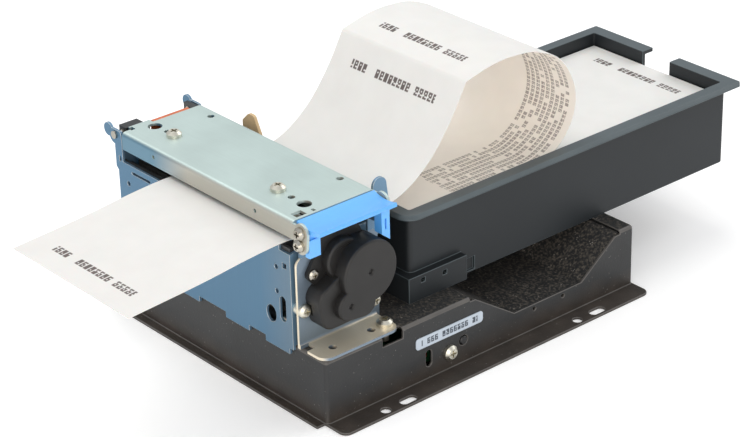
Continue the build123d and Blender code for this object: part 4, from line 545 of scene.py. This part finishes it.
def smooth_line(points, first, last, steps=6):
    """Points of the chain of arcs through the given ones, two arcs for each stretch."""
    knots = [Vector((0, y, z)) for y, z in points]
    ways = [Vector((0, *first)).normalized()]
    ways += [(after - before).normalized() for before, after in zip(knots, knots[2:])]
    ways.append(Vector((0, *last)).normalized())
    line = [knots[0]]
    for start, end, way, end_way in zip(knots, knots[1:], ways, ways[1:]):
        chord, both = end - start, way + end_way
        square = 2 * (1 - way.dot(end_way))
        reach = chord.dot(both)
        if square < 1e-6:
            length = chord.dot(chord) / (2 * reach)
        else:
            length = (math.sqrt(reach ** 2 + square * chord.dot(chord)) - reach) / square
        middle = (start + end + (way - end_way) * length) / 2
        line += arc_points(start, way, middle, steps)
        back = list(arc_points(end, -end_way, middle, steps))
        line += [*reversed(back[:-1]), end]
    return line


def straight(start, end, steps):
    """Points of a straight line after its start, up to its end."""
    return [start.lerp(end, step / steps) for step in range(1, steps + 1)]


def lengths_along(line):
    """Distance of each point of a line from its start."""
    along = [0.0]
    for before, after in zip(line, line[1:]):
        along.append(along[-1] + (after - before).length)
    return along


def paper_sheet(name, line, middle_x, fold_at, sizes, materials, ripple):
    """Sheet of paper bent along a line in the YZ plane, in millimetres.

    Its UV map holds millimetres from the middle and from the fold. The paper sags inwards by up
    to ripple, so it stays inside its solid, and its waves are a little longer along the line."""
    bm = bmesh.new()
    rows = len(line) - 1
    bmesh.ops.create_grid(bm, x_segments=14, y_segments=rows, size=0.5)
    flat = bm.loops.layers.uv.new("flat")
    along = lengths_along(line)
    place = {}
    for vert in bm.verts:
        row = round((vert.co.y + 0.5) * rows)
        across = vert.co.x * sizes.ticket_width / MM
        before, after = line[max(0, row - 1)], line[min(rows, row + 1)]
        normal = RIGHT.cross(after - before).normalized()
        wave = noise.noise(Vector((across / WAVE_ACROSS, along[row] / WAVE_ALONG, WAVE_SEED)))
        spot = line[row] - normal * (1 - wave) / 2 * ripple
        place[vert] = (across, along[row] - fold_at)
        vert.co = Vector((middle_x / MM + across, spot.y, spot.z)) * MM
    for face in bm.faces:
        for loop in face.loops:
            loop[flat].uv = place[loop.vert]
    piece = finish_mesh(bm, name, "chassis", materials, sharp=30.0)
    solid = piece.modifiers.new("thickness", "SOLIDIFY")
    solid.thickness = sizes.paper
    solid.offset = -1.0
    solid.material_offset = 1
    solid.material_offset_rim = 0
    return piece


# Operators, one for each piece or group of like pieces

class PRINTER_OT_base(bpy.types.Operator):
    """Base chassis, deck pan and bottom cover"""
    bl_idname = "printer.base"
    bl_label = "Base"

    def execute(self, context):
        sizes, colours = context.scene.printer_sizes, context.scene.printer_colours
        enamel = wrinkle_enamel(colours.base, linear("#37312C"))
        deck = granular_enamel(
            "coarse enamel, top", colours.base, linear("#524D46"), linear("#9A948B"))
        # A copy of the deck's enamel painted lighter, to lift the shade that the tray casts in
        # the trough
        trough = granular_enamel(
            "coarse enamel, trough, painted lighter against shade", colours.base, linear("#625C54"), linear("#A8A29A"))
        # Enamel worn thin on every cut edge, with a painted highlight on the edges and the
        # slopes: paler and smoother than the walls
        wear_and_sheen = moulded("enamel edges, wear and painted sheen", linear("#565350"), 0.42, 0.6, 0.01, patch=9.0)

        def wall_deck_or_wear_and_sheen(face):
            """Number of the finish: slopes take the pale edge finish as a painted highlight, and
            the deck is what looks up at the top.
            """
            if 0.1 < abs(face.normal.z) < 0.97:
                return 2
            return int(looks_up(face, 0.9, 20 * MM))

        eased_piece("base_chassis", "base_shell", "chassis", [enamel, deck, wear_and_sheen],
                    sizes.enamel_edge, clamp=False, finish=wall_deck_or_wear_and_sheen)
        dress(trough, "deck_pan")
        dress(enamel, "bottom_cover")
        return {"FINISHED"}


class PRINTER_OT_mechanism(bpy.types.Operator):
    """Sheet-metal frame of the print mechanism and its brackets"""
    bl_idname = "printer.mechanism"
    bl_label = "Mechanism frame"

    def execute(self, context):
        sizes, colours = context.scene.printer_sizes, context.scene.printer_colours
        # Zinc plate whose blue is a painted reflection of blue surroundings: a cool steel blue
        # that greys towards the front's right edge
        blue = zinc_plate(
            "zinc with painted blue reflection", colours.zinc, "Z", metallic=0.5,
            front_reflection_tones=(linear("#4E7591"), linear("#6A7D8B")), drift=(30, 52))
        # Clear chromate on zinc with painted reflections: a warm grey on faces seen from above,
        # and a painted cool grey on the upright that looks right
        clear = zinc_plate("clear passivated zinc with painted reflections", linear("#EADFC8"), "X", metallic=0.6,
                           side_reflection_tone=linear("#7C8B99"))
        # Cut edges take a pale, painted highlight
        painted_sheen = zinc_edge_highlight()
        for node, name, zinc in (
            ("mech_frame", "mechanism_frame", blue),
            ("mech_bracket_right", "side_bracket_right", clear),
            ("mech_bracket_left", "side_bracket_left", clear),
        ):
            eased_piece(node, name, "chassis", [zinc, painted_sheen], sizes.sheet_edge)
        dress(blue, "latch_catches", "cutter_plate")
        return {"FINISHED"}


class PRINTER_OT_cover(bpy.types.Operator):
    """Top cover that opens on its hinge, with the hinge's own pieces"""
    bl_idname = "printer.cover"
    bl_label = "Top cover"

    def execute(self, context):
        sizes, colours = context.scene.printer_sizes, context.scene.printer_colours
        # Clear chromate on rolled zinc: a green-grey satin, with a painted reflection along the
        # lip that goes from blue to cream
        rolled = zinc_plate(
            "rolled zinc cover sheet", colours.cover, "X", roughness=0.48,
            front_reflection_tones=(linear("#678A9D"), linear("#BCBAB0")), drift=(-28, -8))
        # Machined acetal: even black with a waxy shine
        acetal = moulded("black acetal", linear("#26282A"), 0.45, 0.5, 0.004)
        # Ground pin: bright with a soft mirror
        pin = plain_metal("ground steel pin", linear("#A9A59B"), 0.3)
        # The cover's cut edges take the same painted highlight
        eased_piece("top_cover", "cover_plate", "cover", [rolled, zinc_edge_highlight()],
                    sizes.sheet_edge)
        dress(acetal, "hinge_blocks")
        dress(pin, "hinge_pin")
        return {"FINISHED"}


class PRINTER_OT_lever(bpy.types.Operator):
    """Blue latch lever"""
    bl_idname = "printer.lever"
    bl_label = "Latch lever"

    def execute(self, context):
        sizes, colours = context.scene.printer_sizes, context.scene.printer_colours
        # Moulded acetal: clear sky blue with a strong, waxy shine and a little depth
        acetal = moulded("blue acetal", colours.lever, 0.34, 0.6, 0.004, spread=0.05,
                         Specular_IOR_Level=0.9, Subsurface_Weight=0.12, Subsurface_Scale=0.002)
        eased_piece("latch_lever", "blue_lever", "lever", [acetal],
                    sizes.lever_edge)
        return {"FINISHED"}


class PRINTER_OT_gear_cover(bpy.types.Operator):
    """Moulded cover over the gear train, with its raised edges rounded"""
    bl_idname = "printer.gear_cover"
    bl_label = "Gear cover"

    def execute(self, context):
        sizes, colours = context.scene.printer_sizes, context.scene.printer_colours
        # Glass-filled nylon: near black, dry and slightly cloudy
        nylon = moulded("black filled nylon", colours.gear_cover, 0.46, 0.45, 0.010, patch=12.0,
                        spread=0.22, Specular_IOR_Level=0.4)
        low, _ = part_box("gear_cover")
        flange_top = low.x + 2 * MM

        def raised(edge):
            """Whether an edge bounds the outer face of a storey that stands above the flange."""
            start_x, end_x = (vert.co.x for vert in edge.verts)
            outer = any(face.normal.x > 0.9 for face in edge.link_faces)
            return (abs(start_x - end_x) < 0.01 * MM and start_x > flange_top
                    and outer and edge.is_convex)

        eased_piece("gear_cover", "gear_housing", "chassis", [nylon],
                    sizes.gear_cover_edge, segments=3, test=raised, clamp=False)
        return {"FINISHED"}


class PRINTER_OT_screws(bpy.types.Operator):
    """Screws of every group"""
    bl_idname = "printer.screws"
    bl_label = "Screws"

    def execute(self, context):
        # Nickel plate: a warm white shine, softened by the barrel
        nickel = plain_metal("nickel plated steel", linear("#DEDACC"), 0.36)
        # Rolled steel: a darker and sharper mirror
        rolled = plain_metal("bright rolled steel", linear("#B3AEA3"), 0.2)
        dress(nickel, "mech_screws", "bracket_screws", "head_screws", "switch_screw",
              "tray_screws", "board_screws")
        dress(rolled, "lever_screws", "gear_cover_screws")
        return {"FINISHED"}


class PRINTER_OT_feed(bpy.types.Operator):
    """Guides, platen, gears, cutter and motors"""
    bl_idname = "printer.feed"
    bl_label = "Feed and cutter"

    def execute(self, context):
        # Moulded ABS: even dark grey with a half shine
        guide = moulded("black ABS guide", linear("#323335"), 0.45, 0.5, 0.006)
        # Ground steel: a bright soft mirror
        ground = plain_metal("ground steel", linear("#B8B5AD"), 0.28)
        # Uncoloured acetal: creamy and even
        gears = moulded("natural acetal", linear("#E4E0D4"), 0.42, 0.6, 0.003, spread=0.04)
        # Ground rubber: dull black
        rubber = moulded("ground platen rubber", linear("#26262A"), 0.8, 0.35, 0.012)
        # Rolled motor can: neutral grey with a blurred mirror
        can = plain_metal("rolled motor steel", linear("#9C9C99"), 0.36)
        dress(guide, "front_guide", "inlet_guide", "platen_bushes")
        dress(ground, "tie_rods", "platen_shaft", "idler_stud", "cutter_blade", "fixed_blade")
        dress(gears, "platen_gear", "idler_gear", "motor_pinion", "cutter_pinion")
        dress(rubber, "platen_roller")
        dress(can, "feed_motor", "cutter_motor")
        return {"FINISHED"}


class PRINTER_OT_head(bpy.types.Operator):
    """Thermal head, its heat sink, springs and flat cable"""
    bl_idname = "printer.head"
    bl_label = "Print head"

    def execute(self, context):
        # Anodised aluminium: charcoal with a metallic sheen
        anodised = plain_metal("black anodised aluminium", linear("#303234"), 0.45)
        # Glazed ceramic: glossy off-white
        glazed = moulded("glazed ceramic", linear("#D8D9D2"), 0.16, 0.8, 0.001, spread=0.03)
        # Spring steel: a bright soft mirror
        spring = plain_metal("spring steel", linear("#A9A9A4"), 0.3)
        # Polyimide film: amber red and glossy
        film = moulded("polyimide film", linear("#C8663A"), 0.3, 2.0, 0.01, patch=4.0,
                       spread=0.12)
        dress(anodised, "head_sink")
        dress(glazed, "thermal_head")
        dress(spring, "head_springs")
        dress(film, "head_flex")
        return {"FINISHED"}


class PRINTER_OT_electronics(bpy.types.Operator):
    """Circuit boards, their parts and the sockets in the rear wall"""
    bl_idname = "printer.electronics"
    bl_label = "Electronics"

    def execute(self, context):
        # Lacquered glass epoxy: deep green with a wet shine
        lacquer = moulded("lacquered glass epoxy", linear("#1F5A38"), 0.3, 0.7, 0.003, patch=6.0)
        # Phenolic paper board: dry tan, cloudy like card
        phenolic = moulded("phenolic paper board", linear("#CBAF86"), 0.55, 0.5, 0.006,
                           patch=5.0, spread=0.08)
        # Moulded epoxy and socket plastic: even black with a half shine
        black = moulded("black epoxy and socket plastic", linear("#1B1B1D"), 0.45, 0.5, 0.004)
        # Uncoloured nylon: creamy white
        white = moulded("white nylon", linear("#DEDACD"), 0.5, 0.5, 0.004, spread=0.04)
        # Tinned steel: a pale soft mirror
        tinned = plain_metal("tinned steel", linear("#BDBAB2"), 0.3)
        dress(lacquer, "control_board", "switch_board")
        dress(phenolic, "sensor_board")
        dress(black, "board_chips", "power_inlet", "feed_switch")
        dress(white, "board_connectors")
        dress(tinned, "board_standoffs", "data_socket")
        return {"FINISHED"}


class PRINTER_OT_switch_panel(bpy.types.Operator):
    """Label, feed button and alarm lamp on the right wall"""
    bl_idname = "printer.switch_panel"
    bl_label = "Switch panel"

    def execute(self, context):
        # Moulded ABS: even black with a half shine
        button = moulded("black ABS button", linear("#1C1C1E"), 0.4, 0.5, 0.004)
        # Clear red resin: glassy, and dark while the lamp is off
        lamp = moulded("red lamp resin", linear("#5A1512"), 0.12, 1.0, 0.001,
                       Transmission_Weight=0.3)
        dress(printed_label(linear("#B9C4D0")), "switch_label")
        dress(button, "feed_button")
        dress(lamp, "alarm_lamp")
        return {"FINISHED"}


class PRINTER_OT_tray(bpy.types.Operator):
    """Ticket tray"""
    bl_idname = "printer.tray"
    bl_label = "Ticket tray"

    def execute(self, context):
        sizes, colours = context.scene.printer_sizes, context.scene.printer_colours
        # Textured ABS: soft dark grey with little shine
        textured = moulded("textured dark ABS", colours.tray, 0.52, 0.55, 0.014, patch=45.0,
                           spread=0.10, Specular_IOR_Level=0.35)
        # The same ABS with a painted reflection: paler and smoother, on the rim's top faces and
        # the edges
        painted_sheen = moulded("dark ABS with painted sheen", linear("#4A5458"), 0.42, 0.55, 0.006,
                         patch=20.0, spread=0.12)
        eased_piece(
            "ticket_tray", "tray_shell", "chassis", [textured, painted_sheen],
            sizes.moulded_edge, segments=3, finish=lambda face: int(looks_up(face, 0.1, 50 * MM)))
        return {"FINISHED"}


class PRINTER_OT_tickets(bpy.types.Operator):
    """Fan-fold pile, the web that loops out of it and the ticket that is out"""
    bl_idname = "printer.tickets"
    bl_label = "Tickets"

    def execute(self, context):
        sizes, colours = context.scene.printer_sizes, context.scene.printer_colours
        length = sizes.ticket_length / MM
        front = thermal_paper("thermal paper, printed face", colours.paper, length)
        # The back is paler and warmer than the front: painted light that lifts the shade inside
        # the loop and stands in for light through the thin paper
        back = thermal_paper("thermal paper, back, painted lighter", linear("#F8F2EA"), length, back=True)
        low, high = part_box("ticket_stack")
        middle = (low + high) / 2

        start, end = Vector((0, *WEB_START)), Vector((0, *WEB_END))
        rise = smooth_line(WEB_RISE, *WEB_RISE_WAYS)
        loop = smooth_line(WEB_LOOP, *WEB_LOOP_WAYS)
        to_fold = [start, *straight(start, rise[0], 8), *rise[1:]]
        line = [*to_fold, *loop[1:], *straight(loop[-1], end, 16)]
        last_fold = lengths_along(to_fold)[-1] - length
        web = paper_sheet("ticket_web_sheet", line, middle.x, last_fold, sizes, [front, back],
                          ripple=0.22)
        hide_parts("ticket_web")

        issued = smooth_line(ISSUED_LINE, *ISSUED_WAYS)
        ticket = paper_sheet("ticket_out_sheet", issued, middle.x, 0.0, sizes, [front, back],
                             ripple=0.18)
        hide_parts("issued_ticket")

        bm = bmesh.new()
        flat = bm.loops.layers.uv.new("flat")
        rng = random.Random(11)
        step = (high.z - low.z) / sizes.leaves
        leaf_size = (high.x - low.x - 2 * sizes.ragged, high.y - low.y - 2 * sizes.ragged, step)
        for leaf in range(sizes.leaves):
            slip = Vector((rng.uniform(-1, 1), rng.uniform(-1, 1), 0))
            on_top = leaf == sizes.leaves - 1
            centre = Vector((middle.x, middle.y, low.z + (leaf + 0.5) * step))
            centre += slip * (0 if on_top else sizes.ragged)
            made = bmesh.ops.create_cube(
                bm, size=1.0, matrix=Matrix.LocRotScale(centre, None, leaf_size))
            edges = dict.fromkeys(edge for vert in made["verts"] for edge in vert.link_edges)
            folds = [
                edge for edge in edges
                if abs(edge.verts[0].co.x - edge.verts[1].co.x) > 10 * MM
            ]
            # Nearly half the thickness, so both ends are round as a fold is
            bmesh.ops.bevel(
                bm, geom=folds, affect="EDGES", offset=step * 0.42, offset_type="OFFSET",
                segments=2, profile=0.5, material=-1, clamp_overlap=True)
        for face in bm.faces:
            for corner in face.loops:
                spot = corner.vert.co
                corner[flat].uv = ((spot.x - middle.x) / MM, (high.y - spot.y) / MM)
        pile = finish_mesh(bm, "ticket_pile", "chassis", [front])
        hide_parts("ticket_stack")
        return {"FINISHED"}


class PRINTER_OT_stage(bpy.types.Operator):
    """Floor, lights and camera"""
    bl_idname = "printer.stage"
    bl_label = "Stage"

    def execute(self, context):
        scene = context.scene
        # Studio paper: an even, matt white
        material, tree, shader, place = new_material(
            "matt studio paper", Roughness=0.9, Emission_Color=(1, 1, 1, 1),
            Emission_Strength=0.22)
        white = mottled(tree, place, linear("#F2F2F2"), linear("#F8F8F8"), 400.0)
        tree.links.new(white, shader.inputs["Base Color"])
        bm = bmesh.new()
        bmesh.ops.create_grid(bm, x_segments=1, y_segments=1, size=FLOOR_HALF_WIDTH)
        floor_mesh = bpy.data.meshes.new("floor")
        bm.to_mesh(floor_mesh)
        bm.free()
        floor_mesh.materials.append(material)
        floor = bpy.data.objects.new("floor", floor_mesh)
        scene.collection.objects.link(floor)

        scene.world = bpy.data.worlds.new("studio")
        scene.world.use_nodes = True
        sky = scene.world.node_tree.nodes["Background"]
        sky.inputs["Color"].default_value = linear("#F4F7FB")
        sky.inputs["Strength"].default_value = SKY_STRENGTH
        for name, spot, side, power, colour in LIGHTS:
            light = bpy.data.lights.new(name, "AREA")
            light.size, light.energy = side, power
            light.color = linear(colour)[:3]
            lamp = bpy.data.objects.new(name, light)
            lamp.location = spot
            lamp.rotation_euler = (LIT_SPOT - Vector(spot)).to_track_quat("-Z", "Y").to_euler()
            scene.collection.objects.link(lamp)

        azimuth, elevation, roll = map(
            math.radians, (CAMERA_AZIMUTH, CAMERA_ELEVATION, CAMERA_ROLL))
        level = Vector((math.cos(azimuth), math.sin(azimuth), 0))
        ahead = Vector((
            -math.sin(azimuth) * math.cos(elevation), math.cos(azimuth) * math.cos(elevation),
            -math.sin(elevation)))
        above = level.cross(ahead)
        across = level * math.cos(roll) + above * math.sin(roll)
        top = above * math.cos(roll) - level * math.sin(roll)
        turn = Matrix((across, top, -ahead)).transposed().to_4x4()
        lens = bpy.data.cameras.new("camera")
        lens.sensor_width = SENSOR_MM
        lens.lens = FOCAL_PIXELS * SENSOR_MM / PICTURE_WIDTH
        lens.shift_x, lens.shift_y = (pixels / PICTURE_WIDTH for pixels in SHIFT_PIXELS)
        lens.clip_start, lens.clip_end = CLIP_NEAR, CLIP_FAR
        camera = bpy.data.objects.new("camera", lens)
        camera.matrix_world = Matrix.Translation(CAMERA_PLACE) @ turn
        scene.collection.objects.link(camera)
        scene.camera = camera
        scene.view_settings.view_transform = "Standard"
        return {"FINISHED"}


OPERATORS = (
    PRINTER_OT_base, PRINTER_OT_mechanism, PRINTER_OT_cover, PRINTER_OT_lever,
    PRINTER_OT_gear_cover, PRINTER_OT_screws, PRINTER_OT_feed, PRINTER_OT_head,
    PRINTER_OT_electronics, PRINTER_OT_switch_panel, PRINTER_OT_tray, PRINTER_OT_tickets,
    PRINTER_OT_stage,
)


class PRINTER_PT_panel(bpy.types.Panel):
    """Lists the pieces, their sizes and their colours"""
    bl_idname = "PRINTER_PT_panel"
    bl_label = "Ticket Printer"
    bl_space_type = "VIEW_3D"
    bl_region_type = "UI"
    bl_category = "Printer"

    def draw(self, context):
        for operator in OPERATORS:
            self.layout.operator(operator.bl_idname)
        for group in (context.scene.printer_sizes, context.scene.printer_colours):
            for name in group.bl_rna.properties.keys():
                if name not in ("rna_type", "name"):
                    self.layout.prop(group, name)


CLASSES = (PrinterSizes, PrinterColours, *OPERATORS, PRINTER_PT_panel)


def register():
    for item in CLASSES:
        bpy.utils.register_class(item)
    bpy.types.Scene.printer_sizes = PointerProperty(type=PrinterSizes)
    bpy.types.Scene.printer_colours = PointerProperty(type=PrinterColours)


def unregister():
    del bpy.types.Scene.printer_colours
    del bpy.types.Scene.printer_sizes
    for item in reversed(CLASSES):
        bpy.utils.unregister_class(item)


def main():
    """Makes every piece and the stage."""
    register()
    for operator in OPERATORS:
        group, name = operator.bl_idname.split(".")
        getattr(getattr(bpy.ops, group), name)()


if __name__ == "__main__":
    main()
